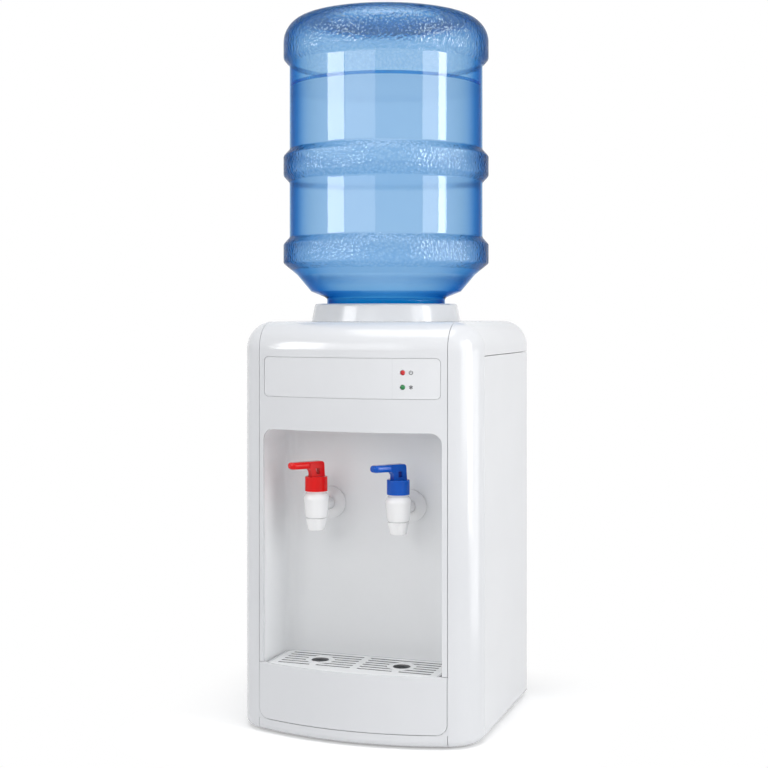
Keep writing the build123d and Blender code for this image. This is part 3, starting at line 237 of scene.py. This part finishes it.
def plastic(name, tones, gloss, drift, grain, grain_depth):
    """Moulded plastic: two near tones that drift, uneven gloss and a fine moulded grain."""
    paint = bpy.data.materials.new(name)
    paint.use_nodes = True
    tree = paint.node_tree
    shader = tree.nodes["Principled BSDF"]
    place = tree.nodes.new("ShaderNodeTexCoord")
    place.name = "place"
    cloud = tree.nodes.new("ShaderNodeTexNoise")
    cloud.inputs["Scale"].default_value = drift
    cloud.inputs["Detail"].default_value = 5.0
    tone = ramp(tree, ((0.30, tones[0]), (0.70, tones[1])))
    polish = tree.nodes.new("ShaderNodeMapRange")
    polish.inputs["To Min"].default_value = gloss * 0.85
    polish.inputs["To Max"].default_value = gloss * 1.25
    peel = tree.nodes.new("ShaderNodeTexNoise")
    peel.name = "peel"
    peel.inputs["Scale"].default_value = grain
    peel.inputs["Detail"].default_value = 2.0
    relief = tree.nodes.new("ShaderNodeBump")
    relief.inputs["Strength"].default_value = 0.5
    relief.inputs["Distance"].default_value = grain_depth
    tree.links.new(place.outputs["Object"], cloud.inputs["Vector"])
    tree.links.new(place.outputs["Object"], peel.inputs["Vector"])
    tree.links.new(cloud.outputs["Fac"], tone.inputs["Fac"])
    tree.links.new(cloud.outputs["Fac"], polish.inputs["Value"])
    tree.links.new(tone.outputs["Color"], shader.inputs["Base Color"])
    tree.links.new(polish.outputs["Result"], shader.inputs["Roughness"])
    tree.links.new(peel.outputs["Fac"], relief.inputs["Height"])
    tree.links.new(relief.outputs["Normal"], shader.inputs["Normal"])
    return paint


def mould(name, finish, edge_radius=0.0):
    """A copy of the node's form in a finish, with its edges drawn to a small radius where one is given."""
    weld_distance = 0.000002
    flat_limit = math.radians(0.2)
    edge_limit = math.radians(40)
    form = bmesh.new()
    form.from_mesh(nodes[name].data)
    bmesh.ops.remove_doubles(form, verts=form.verts, dist=weld_distance)
    bmesh.ops.dissolve_limit(form, angle_limit=flat_limit, verts=form.verts, edges=form.edges)
    for face in form.faces:
        face.smooth = True
    piece = make(name + "_form", form, finish)
    piece.data.set_sharp_from_angle(angle=edge_limit)
    if edge_radius:
        edges = piece.modifiers.new("edge_radius", "BEVEL")
        edges.width = edge_radius
        edges.segments = 3
        edges.limit_method = "ANGLE"
        edges.angle_limit = edge_limit
        edges.use_clamp_overlap = False
        edges.harden_normals = True
    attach(piece, body_of[name])
    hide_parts(name)
    return piece


def dress(name, finish):
    """Give a node that keeps its own form a finish."""
    nodes[name].data.materials.clear()
    nodes[name].data.materials.append(finish)


white_gloss = plastic(
    "white_gloss", ((0.725, 0.735, 0.757), (0.745, 0.755, 0.775)),
    gloss=0.16, drift=7.0, grain=900.0, grain_depth=0.00001,
)
dress("base_pan", white_gloss)
for side in ("left", "right"):
    dress(side + "_pillar", white_gloss)
    mould(side + "_side_panel", white_gloss, edge_radius=0.0004)
mould("top_cover", white_gloss, edge_radius=0.0005)
dress("front_fascia", white_gloss)

# Feet: four round pads pressed into the base pan.
# Black moulded rubber with a dull, slightly dusty skin.
rubber_black = plastic(
    "rubber_black", ((0.030, 0.030, 0.033), (0.055, 0.055, 0.058)),
    gloss=0.65, drift=120.0, grain=900.0, grain_depth=0.00008,
)
mould("rubber_feet", rubber_black, edge_radius=0.0006)

# Dispensing bay: a deep drawn tub behind the fascia's opening, painted a lighter white than the cabinet as
# painted light in the shaded bay.
# Satin moulded plastic, clipped to the fascia, with the tap shanks through its back.
bay_white = plastic(
    "bay_white", ((0.82, 0.83, 0.84), (0.85, 0.86, 0.87)),
    gloss=0.30, drift=9.0, grain=1400.0, grain_depth=0.00002,
)
dress("niche_liner", bay_white)

# Display panel: a thin bowed plate let into the fascia, with two lamps at its right.
# Gloss white plastic, and round lenses of dyed plastic pushed in from behind.
display_white = plastic(
    "display_white", ((0.76, 0.77, 0.79), (0.78, 0.79, 0.81)),
    gloss=0.10, drift=6.0, grain=700.0, grain_depth=0.000006,
)
lens_red = plastic(
    "lens_red", ((0.50, 0.006, 0.010), (0.62, 0.012, 0.018)),
    gloss=0.10, drift=300.0, grain=1500.0, grain_depth=0.00001,
)
lens_green = plastic(
    "lens_green", ((0.010, 0.18, 0.045), (0.016, 0.26, 0.07)),
    gloss=0.10, drift=300.0, grain=1500.0, grain_depth=0.00001,
)
mould("display_panel", display_white, edge_radius=0.0003)
dress("power_lamp", lens_red)
dress("cold_lamp", lens_green)

# Panel marks: a line scored across the panel, and a power ring and a frost star beside the lamps.
# The line is a thin grey strip laid on the plate, a painted shade of the scored groove, and the two marks are
# a thin layer of grey ink printed on the plate.
print_grey = plastic(
    "print_grey", ((0.09, 0.09, 0.10), (0.12, 0.12, 0.13)),
    gloss=0.40, drift=200.0, grain=2500.0, grain_depth=0.000004,
)
score_painted_shade = plastic(
    "score_painted_shade", ((0.60, 0.61, 0.63), (0.66, 0.67, 0.69)),
    gloss=0.35, drift=60.0, grain=1500.0, grain_depth=0.000004,
)
bow_radius = 0.375
bow_centre = bow_radius + cad_box[0][1]
panel_sink = 0.0003
panel_radius = bow_radius - panel_sink
print_thickness = 0.00006
mark_size = 0.0052
mark_line = 0.0009
mark_offset = 0.010


def middle(name):
    """The middle of a node's box."""
    low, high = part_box(name)
    return (Vector(low) + Vector(high)) / 2


def bar(form, length, width, centre, angle):
    """A flat printed bar about a centre, turned in the panel's plane."""
    made = bmesh.ops.create_cube(form, size=1.0)["verts"]
    shape = Matrix.Diagonal((width, 2 * print_thickness, length, 1))
    turn = Matrix.Rotation(angle, 4, "Y")
    bmesh.ops.transform(form, matrix=Matrix.Translation(centre) @ turn @ shape, verts=made)


def print_on_panel(name, form, finish, x, z):
    """Stand a flat form, drawn in X and Z about its middle, on the bowed panel at a place."""
    lean = math.asin(x / panel_radius)
    place = Vector((x, bow_centre - panel_radius * math.cos(lean), z))
    turn = Matrix.Rotation(lean, 4, "Z")
    bmesh.ops.transform(form, matrix=Matrix.Translation(place) @ turn, verts=form.verts)
    piece = make(name, form, finish)
    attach(piece, body_of["display_panel"])


lamp_x = middle("power_lamp").x
panel_low, panel_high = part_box("display_panel")
score_offset = -0.0125
score_width = 0.0003
score_margin = 0.0004
score_length = panel_high[2] - panel_low[2] - 2 * score_margin
score_form = bmesh.new()
bar(score_form, score_length, score_width, Vector(), 0)
print_on_panel("panel_score", score_form, score_painted_shade, lamp_x + score_offset, middle("display_panel").z)

ring_gap_half = math.radians(35)
ring_steps = 40
stroke_length = mark_size * 0.55
stroke_rise = mark_size * 0.30
power_form = bmesh.new()
ring_inner = power_form.verts.new((0, -print_thickness, mark_size / 2 - mark_line))
ring_outer = power_form.verts.new((0, -print_thickness, mark_size / 2))
ring_edge = power_form.edges.new((ring_inner, ring_outer))
ring_start = Matrix.Rotation(ring_gap_half, 3, "Y")
bmesh.ops.rotate(power_form, verts=[ring_inner, ring_outer], cent=(0, 0, 0), matrix=ring_start)
bmesh.ops.spin(
    power_form,
    geom=[ring_inner, ring_outer, ring_edge],
    cent=(0, 0, 0),
    axis=(0, 1, 0),
    angle=2 * (math.pi - ring_gap_half),
    steps=ring_steps,
)
bmesh.ops.solidify(power_form, geom=power_form.faces[:], thickness=print_thickness)
bmesh.ops.recalc_face_normals(power_form, faces=power_form.faces)
bar(power_form, stroke_length, mark_line, Vector((0, 0, stroke_rise)), 0)
print_on_panel("power_mark", power_form, print_grey, lamp_x + mark_offset, middle("power_lamp").z)

frost_arms = 6
frost_line = mark_line * 0.8
fork_line = mark_line * 0.7
fork_length = mark_size * 0.24
fork_reach = mark_size * 0.32
fork_lean = math.radians(55)
frost_form = bmesh.new()
for arm in range(frost_arms // 2):
    bar(frost_form, mark_size, frost_line, Vector(), arm * 2 * math.pi / frost_arms)
for arm in range(frost_arms):
    arm_turn = arm * 2 * math.pi / frost_arms
    fork = Vector((math.sin(arm_turn), 0, math.cos(arm_turn))) * fork_reach
    for lean in (-fork_lean, fork_lean):
        bar(frost_form, fork_length, fork_line, fork, arm_turn + lean)
print_on_panel("frost_mark", frost_form, print_grey, lamp_x + mark_offset, middle("cold_lamp").z)

# Circuit boards: the small one that the lamps stand on and the larger power board on the side panel.
# Green solder mask over woven glass sheet, held on posts.
board_green = plastic(
    "board_green", ((0.02, 0.16, 0.07), (0.04, 0.25, 0.12)),
    gloss=0.35, drift=45.0, grain=1800.0, grain_depth=0.00005,
)
dress("lamp_board", board_green)
dress("power_board", board_green)

# Drip tray: a drawer with a bowed front that lies flush with the cabinet, and a slotted grille in it.
# The tray is glossy white and the grille a satin white, both moulded and lifted out by hand.
# The walls of the slots are painted grey, a painted shade for the shade that the slots hold.
grille_white = plastic(
    "grille_white", ((0.80, 0.81, 0.82), (0.83, 0.84, 0.85)),
    gloss=0.28, drift=14.0, grain=1400.0, grain_depth=0.00002,
)
slot_painted_shade = plastic(
    "slot_painted_shade", ((0.22, 0.22, 0.23), (0.28, 0.28, 0.29)),
    gloss=0.45, drift=60.0, grain=1200.0, grain_depth=0.00003,
)
dress("drip_tray", white_gloss)
grille = mould("drip_grille", grille_white, edge_radius=0.0004)
grille.data.materials.append(slot_painted_shade)
grille_low, grille_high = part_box("drip_grille")
rim_width = 0.003
wall_slope = 0.3


def bow_back(x):
    """How far the bowed front falls back at a distance from its middle."""
    return bow_radius - math.sqrt(bow_radius**2 - x**2)


# The upright faces inside the grille's rim are the slot walls, and they take the painted shade.
for face in grille.data.polygons:
    is_wall = abs(face.normal.z) < wall_slope
    clear_of_front = face.center.y > grille_low[1] + bow_back(face.center.x) + rim_width
    clear_of_back = face.center.y < grille_high[1] - rim_width
    clear_of_sides = abs(face.center.x) < grille_high[0] - rim_width
    if is_wall and clear_of_front and clear_of_back and clear_of_sides:
        face.material_index = 1

# Tray trim: a narrow lip of the apron on each side of the tray, which turns the tray's lower corners.
# Glossy white like the base pan that it is moulded with, cut along the tray's outline and set a little back.
tray_low, tray_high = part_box("drip_tray")
tray_round = 0.012
trim_side_room = 0.0012
trim_floor_room = 0.0009
trim_clearance = 0.0005
trim_setback = 0.0003
trim_depth = 0.006
trim_arc_steps = 16
trim_side = tray_high[0] + trim_side_room
trim_foot = tray_low[2] - trim_floor_room
trim_head = tray_high[2] - trim_clearance
turn_x = tray_high[0] - tray_round
turn_z = tray_low[2] + tray_round
turn_radius = tray_round + trim_clearance
trim_form = bmesh.new()
arc_start = trim_form.verts.new((turn_x, 0, turn_z - turn_radius))
bmesh.ops.spin(
    trim_form,
    geom=[arc_start],
    cent=(turn_x, 0, turn_z),
    axis=(0, -1, 0),
    angle=math.pi / 2,
    steps=trim_arc_steps,
)
trim_outline = trim_form.verts[:]
for x, z in (
    (turn_x + turn_radius, trim_head),
    (trim_side, trim_head),
    (trim_side, trim_foot),
    (turn_x, trim_foot),
):
    trim_outline.append(trim_form.verts.new((x, 0, z)))
trim_front = trim_form.faces.new(trim_outline)
trim_swept = bmesh.ops.extrude_face_region(trim_form, geom=[trim_front], use_keep_orig=True)["geom"]
trim_back = [corner for corner in trim_swept if isinstance(corner, bmesh.types.BMVert)]
bmesh.ops.translate(trim_form, verts=trim_back, vec=(0, trim_depth, 0))
for corner in trim_form.verts:
    corner.co.y += cad_box[0][1] + bow_back(corner.co.x) + trim_setback
bmesh.ops.mirror(trim_form, geom=[*trim_form.verts, *trim_form.edges, *trim_form.faces], axis="X")
bmesh.ops.recalc_face_normals(trim_form, faces=trim_form.faces)
tray_trim = make("tray_trim", trim_form, white_gloss)
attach(tray_trim, body_of["base_pan"])

# Tap bodies: a tapered barrel with a squared nozzle, and a domed rose against the back of the bay.
# Bright white moulded plastic with a high gloss, held from behind by a nut on the shank.
tap_white = plastic(
    "tap_white", ((0.88, 0.88, 0.885), (0.90, 0.90, 0.905)),
    gloss=0.14, drift=25.0, grain=1200.0, grain_depth=0.00001,
)
for tap in ("hot", "cold"):
    mould(tap + "_tap_body", tap_white, edge_radius=0.0008)
    mould(tap + "_tap_flange", tap_white, edge_radius=0.0005)

# Tap heads: a cap with a slot and the lever that turns in it, red for hot and blue for cold.
# Solid dyed plastic with a wet gloss, each moulded in one piece.
hot_red = plastic(
    "hot_red", ((0.70, 0.003, 0.003), (0.78, 0.005, 0.005)),
    gloss=0.13, drift=45.0, grain=900.0, grain_depth=0.00002,
)
cold_blue = plastic(
    "cold_blue", ((0.0, 0.078, 0.46), (0.002, 0.095, 0.52)),
    gloss=0.13, drift=45.0, grain=900.0, grain_depth=0.00002,
)
for tap, dye in (("hot", hot_red), ("cold", cold_blue)):
    dye.node_tree.nodes["Principled BSDF"].inputs["Specular IOR Level"].default_value = 0.25
    dress(tap + "_tap_bonnet", dye)
    dress(tap + "_tap_lever", dye)

# Tap insides: the stem under each lever, its return spring, the pivot pins and the shank nuts.
# Natural white plastic and stainless steel, out of sight in the caps and behind the bay.
# Each spring is a plain sleeve on a mesh of its own. The real spring shortens towards its foot as the stem
# goes down.
white_plastic = plastic(
    "white_plastic", ((0.76, 0.76, 0.755), (0.80, 0.80, 0.795)),
    gloss=0.38, drift=20.0, grain=1500.0, grain_depth=0.00003,
)


def metal(name, tones, gloss, drift, stretch, score_depth):
    """Rolled or drawn metal: two near tones, with fine marks drawn out along one direction."""
    paint = plastic(name, tones, gloss, drift, grain=1.0, grain_depth=score_depth)
    tree = paint.node_tree
    tree.nodes["Principled BSDF"].inputs["Metallic"].default_value = 1.0
    drawn = tree.nodes.new("ShaderNodeMapping")
    drawn.inputs["Scale"].default_value = stretch
    tree.links.new(tree.nodes["place"].outputs["Object"], drawn.inputs["Vector"])
    tree.links.new(drawn.outputs["Vector"], tree.nodes["peel"].inputs["Vector"])
    return paint


upright_marks = (1600, 1600, 40)
level_marks = (40, 1600, 1600)
steel = metal(
    "steel", ((0.56, 0.56, 0.57), (0.66, 0.66, 0.67)),
    gloss=0.24, drift=18.0, stretch=upright_marks, score_depth=0.00003,
)
for tap in ("hot", "cold"):
    dress(tap + "_tap_stem", white_plastic)
    spring = mould(tap + "_tap_spring", steel)
    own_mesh(spring)
dress("tap_pins", steel)
dress("tap_nuts", white_plastic)

# Cold side: a drawn steel tank in a foam jacket on a folded shelf, cooled by a module, a sink and a fan.
# Steel, white bead foam, zinc sheet, aluminium and black fan plastic.
zinc_steel = metal(
    "zinc_steel", ((0.48, 0.49, 0.51), (0.60, 0.61, 0.63)),
    gloss=0.38, drift=60.0, stretch=level_marks, score_depth=0.00003,
)
aluminium = metal(
    "aluminium", ((0.64, 0.65, 0.66), (0.74, 0.75, 0.76)),
    gloss=0.34, drift=30.0, stretch=upright_marks, score_depth=0.00004,
)
bead_foam = plastic(
    "bead_foam", ((0.82, 0.82, 0.80), (0.90, 0.90, 0.88)),
    gloss=0.85, drift=90.0, grain=260.0, grain_depth=0.0008,
)
ceramic_white = plastic(
    "ceramic_white", ((0.82, 0.82, 0.80), (0.87, 0.87, 0.85)),
    gloss=0.45, drift=50.0, grain=1800.0, grain_depth=0.00003,
)
fan_black = plastic(
    "fan_black", ((0.022, 0.022, 0.025), (0.040, 0.040, 0.044)),
    gloss=0.42, drift=60.0, grain=1400.0, grain_depth=0.00003,
)
dress("cold_tank", steel)
dress("tank_lid", white_plastic)
dress("tank_foam", bead_foam)
dress("tank_shelf", zinc_steel)
dress("cold_block", aluminium)
dress("peltier_module", ceramic_white)
dress("heat_sink", aluminium)
dress("fan_frame", fan_black)
dress("fan_rotor", fan_black)

# Hot side: a welded steel tank on a folded stand, with a heater band and a thermostat strapped on.
# Stainless steel, zinc sheet, a mica band and a black moulded switch.
heater_mica = plastic(
    "heater_mica", ((0.42, 0.39, 0.34), (0.56, 0.53, 0.48)),
    gloss=0.55, drift=80.0, grain=500.0, grain_depth=0.0001,
)
dress("hot_tank", steel)
dress("hot_tank_stand", zinc_steel)
dress("heater_band", heater_mica)
dress("thermostat", fan_black)

# Hoses: the lines from the tanks to the taps, and the drain with its cap at the back.
# Milky silicone tube, pushed on to the nipples. The cap is white plastic with finger grips.
silicone = plastic(
    "silicone", ((0.66, 0.66, 0.64), (0.76, 0.76, 0.74)),
    gloss=0.40, drift=60.0, grain=1200.0, grain_depth=0.00002,
)
for hose in ("cold_hose", "hot_hose", "transfer_hose", "drain_pipe"):
    dress(hose, silicone)
mould("drain_cap", white_plastic, edge_radius=0.0004)

# Rear panel: a flat sheet with air slots, screwed to the side panels, with two switches and a gland.
# Satin white plastic, six plain zinc screws, black switch frames with dyed rockers.
rear_white = plastic(
    "rear_white", ((0.74, 0.75, 0.76), (0.78, 0.79, 0.80)),
    gloss=0.34, drift=8.0, grain=1600.0, grain_depth=0.00004,
)
switch_red = plastic(
    "switch_red", ((0.52, 0.015, 0.015), (0.62, 0.025, 0.022)),
    gloss=0.22, drift=80.0, grain=1200.0, grain_depth=0.00002,
)
switch_green = plastic(
    "switch_green", ((0.015, 0.27, 0.08), (0.025, 0.35, 0.11)),
    gloss=0.22, drift=80.0, grain=1200.0, grain_depth=0.00002,
)
mould("rear_panel", rear_white, edge_radius=0.0003)
dress("panel_screws", zinc_steel)
mould("switch_housings", fan_black, edge_radius=0.0003)
mould("cord_gland", fan_black, edge_radius=0.0004)
mould("heat_rocker", switch_red, edge_radius=0.0004)
mould("cool_rocker", switch_green, edge_radius=0.0004)

# Collar and feed cup: a tapered ring on the top cover that the bottle sits in, over the cup and its probe.
# The ring is a glossy white painted a little brighter than the cabinet, as painted light, and the cup natural
# white.
collar_painted_light = plastic(
    "collar_painted_light", ((0.81, 0.82, 0.835), (0.83, 0.84, 0.855)),
    gloss=0.16, drift=9.0, grain=900.0, grain_depth=0.00001,
)
mould("bottle_collar", collar_painted_light, edge_radius=0.0006)
dress("water_guard", white_plastic)

# Bottle: a blown returnable bottle, mouth down in the collar, with three grip rings and a snap cap.
# Clear blue plastic. The walls are smooth, while the rings and the crown carry a pebbled grain, with a
# painted sparkle of light and dark specks in its colour.
# The neck is painted a deeper blue with a fainter coat, as painted shade under the shoulder and in the
# collar.
neck_sink = 0.001
neck_rise = 0.029
collar_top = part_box("bottle_collar")[1][2]


def blown_blue(name, roughness, coat_roughness, pebble_scale, pebble_depth, sparkle_speck):
    """Clear blue plastic, deeper in colour towards its rims, with a pebbled grain and a painted sparkle of
    light and dark specks in its colour. Towards the neck it is a deeper blue with a fainter coat, a painted
    shade under the shoulder and in the collar.
    """
    paint = bpy.data.materials.new(name)
    paint.use_nodes = True
    tree = paint.node_tree
    shader = tree.nodes["Principled BSDF"]
    shader.inputs["IOR"].default_value = 1.05
    shader.inputs["Transmission Weight"].default_value = 1.0
    shader.inputs["Coat Roughness"].default_value = coat_roughness
    place = tree.nodes.new("ShaderNodeTexCoord")
    rim = tree.nodes.new("ShaderNodeLayerWeight")
    tint = ramp(tree, (
        (0.18, (0.575, 0.745, 0.905)),
        (0.36, (0.475, 0.665, 0.835)),
        (0.46, (0.385, 0.60, 0.81)),
        (0.60, (0.12, 0.40, 0.71)),
        (0.86, (0.02, 0.22, 0.54)),
    ))
    sheen = tree.nodes.new("ShaderNodeMapRange")
    sheen.inputs["From Min"].default_value = 0.30
    sheen.inputs["From Max"].default_value = 0.62
    sheen.inputs["To Min"].default_value = 1.0
    sheen.inputs["To Max"].default_value = 0.0
    gleam = tree.nodes.new("ShaderNodeMath")
    gleam.operation = "MULTIPLY"
    height = tree.nodes.new("ShaderNodeSeparateXYZ")
    # This height range paints the shade at the neck: a deeper blue and a fainter coat.
    neck = tree.nodes.new("ShaderNodeMapRange")
    neck.inputs["From Min"].default_value = collar_top - neck_sink
    neck.inputs["From Max"].default_value = collar_top + neck_rise
    neck_painted_shade = ramp(tree, ((0.15, (0.02, 0.52, 0.74)), (0.50, (0.66, 0.88, 0.98)), (1.0, (1, 1, 1))))
    deep = tree.nodes.new("ShaderNodeVectorMath")
    deep.operation = "MULTIPLY"
    cloud = tree.nodes.new("ShaderNodeTexNoise")
    cloud.inputs["Scale"].default_value = 60.0
    polish = tree.nodes.new("ShaderNodeMapRange")
    polish.inputs["To Min"].default_value = roughness * 0.8
    polish.inputs["To Max"].default_value = roughness * 1.3
    pebbles = tree.nodes.new("ShaderNodeTexVoronoi")
    pebbles.inputs["Scale"].default_value = pebble_scale
    # Painted sparkle: the pebbles' middles keep the full tint and their edges darken, as specks of glint.
    painted_sparkle = ramp(tree, ((0.20, (1, 1, 1)), (0.60, sparkle_speck)))
    sparkled_tint = tree.nodes.new("ShaderNodeVectorMath")
    sparkled_tint.operation = "MULTIPLY"
    relief = tree.nodes.new("ShaderNodeBump")
    relief.inputs["Strength"].default_value = 0.9
    relief.inputs["Distance"].default_value = pebble_depth
    tree.links.new(rim.outputs["Facing"], tint.inputs["Fac"])
    tree.links.new(rim.outputs["Facing"], sheen.inputs["Value"])
    tree.links.new(sheen.outputs["Result"], gleam.inputs[0])
    tree.links.new(neck.outputs["Result"], gleam.inputs[1])
    tree.links.new(gleam.outputs[0], shader.inputs["Coat Weight"])
    tree.links.new(place.outputs["Object"], height.inputs["Vector"])
    tree.links.new(height.outputs["Z"], neck.inputs["Value"])
    tree.links.new(neck.outputs["Result"], neck_painted_shade.inputs["Fac"])
    tree.links.new(tint.outputs["Color"], deep.inputs[0])
    tree.links.new(neck_painted_shade.outputs["Color"], deep.inputs[1])
    tree.links.new(pebbles.outputs["Distance"], painted_sparkle.inputs["Fac"])
    tree.links.new(deep.outputs["Vector"], sparkled_tint.inputs[0])
    tree.links.new(painted_sparkle.outputs["Color"], sparkled_tint.inputs[1])
    tree.links.new(sparkled_tint.outputs["Vector"], shader.inputs["Base Color"])
    tree.links.new(place.outputs["Object"], cloud.inputs["Vector"])
    tree.links.new(cloud.outputs["Fac"], polish.inputs["Value"])
    tree.links.new(polish.outputs["Result"], shader.inputs["Roughness"])
    tree.links.new(place.outputs["Object"], pebbles.inputs["Vector"])
    tree.links.new(pebbles.outputs["Distance"], relief.inputs["Height"])
    tree.links.new(relief.outputs["Normal"], shader.inputs["Normal"])
    tree.links.new(relief.outputs["Normal"], shader.inputs["Coat Normal"])
    return paint


smooth_blue = blown_blue(
    "smooth_blue", roughness=0.04, coat_roughness=0.04,
    pebble_scale=60.0, pebble_depth=0.00003, sparkle_speck=(0.985, 0.99, 0.995),
)
pebbled_blue = blown_blue(
    "pebbled_blue", roughness=0.08, coat_roughness=0.05,
    pebble_scale=250.0, pebble_depth=0.0013, sparkle_speck=(0.76, 0.88, 0.96),
)
cap_blue = plastic(
    "cap_blue", ((0.08, 0.21, 0.58), (0.12, 0.28, 0.68)),
    gloss=0.30, drift=60.0, grain=1200.0, grain_depth=0.00003,
)
ring_bands = ((0.583, 0.626), (0.698, 0.741), (0.852, 0.914))
bottle = mould("water_bottle", smooth_blue)
bottle.data.materials.append(pebbled_blue)
for face in bottle.data.polygons:
    for band_low, band_high in ring_bands:
        if band_low < face.center.z < band_high:
            face.material_index = 1
dress("bottle_cap", cap_blue)

# Water: what is left in the bottle, up to a level under the crown.
# A faint blue, it blurs the far side of the bottle, as a full bottle does.
still_water = bpy.data.materials.new("still_water")
still_water.use_nodes = True
water_tree = still_water.node_tree
water_shader = water_tree.nodes["Principled BSDF"]
water_shader.inputs["IOR"].default_value = 1.06
water_shader.inputs["Transmission Weight"].default_value = 1.0
water_place = water_tree.nodes.new("ShaderNodeTexCoord")
water_cloud = water_tree.nodes.new("ShaderNodeTexNoise")
water_cloud.inputs["Scale"].default_value = 8.0
water_tone = ramp(water_tree, ((0.0, (0.78, 0.89, 0.965)), (1.0, (0.84, 0.93, 0.98))))
water_blur = water_tree.nodes.new("ShaderNodeMapRange")
water_blur.inputs["To Min"].default_value = 0.28
water_blur.inputs["To Max"].default_value = 0.36
water_tree.links.new(water_place.outputs["Object"], water_cloud.inputs["Vector"])
water_tree.links.new(water_cloud.outputs["Fac"], water_tone.inputs["Fac"])
water_tree.links.new(water_cloud.outputs["Fac"], water_blur.inputs["Value"])
water_tree.links.new(water_tone.outputs["Color"], water_shader.inputs["Base Color"])
water_tree.links.new(water_blur.outputs["Result"], water_shader.inputs["Roughness"])
mould("bottle_water", still_water)

# Water line: the film that the water draws up the wall, a thin wedge all round the bottle.
# Clear like the water, and a deeper blue because it is seen along its length.
line_blue = plastic(
    "line_blue", ((0.02, 0.40, 0.72), (0.03, 0.45, 0.78)),
    gloss=0.25, drift=40.0, grain=900.0, grain_depth=0.00001,
)
line_shader = line_blue.node_tree.nodes["Principled BSDF"]
line_shader.inputs["Transmission Weight"].default_value = 1.0
line_shader.inputs["IOR"].default_value = 1.0
water_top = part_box("bottle_water")[1][2]
line_radius = 0.12535
line_width = 0.0004
line_height = 0.0042
line_steps = 160
line_weld = 0.000001
line_form = bmesh.new()
line_corners = [
    line_form.verts.new((line_radius - line_width, 0, water_top)),
    line_form.verts.new((line_radius, 0, water_top)),
    line_form.verts.new((line_radius, 0, water_top + line_height)),
]
line_sides = []
for here, corner in enumerate(line_corners):
    line_sides.append(line_form.edges.new((line_corners[here - 1], corner)))
bmesh.ops.spin(
    line_form,
    geom=[*line_corners, *line_sides],
    cent=(0, 0, 0),
    axis=(0, 0, 1),
    angle=2 * math.pi,
    steps=line_steps,
    use_merge=True,
)
bmesh.ops.remove_doubles(line_form, verts=line_form.verts, dist=line_weld)
bmesh.ops.recalc_face_normals(line_form, faces=line_form.faces)
for face in line_form.faces:
    face.smooth = True
water_line = make("water_line", line_form, line_blue)
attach(water_line, "bottle")
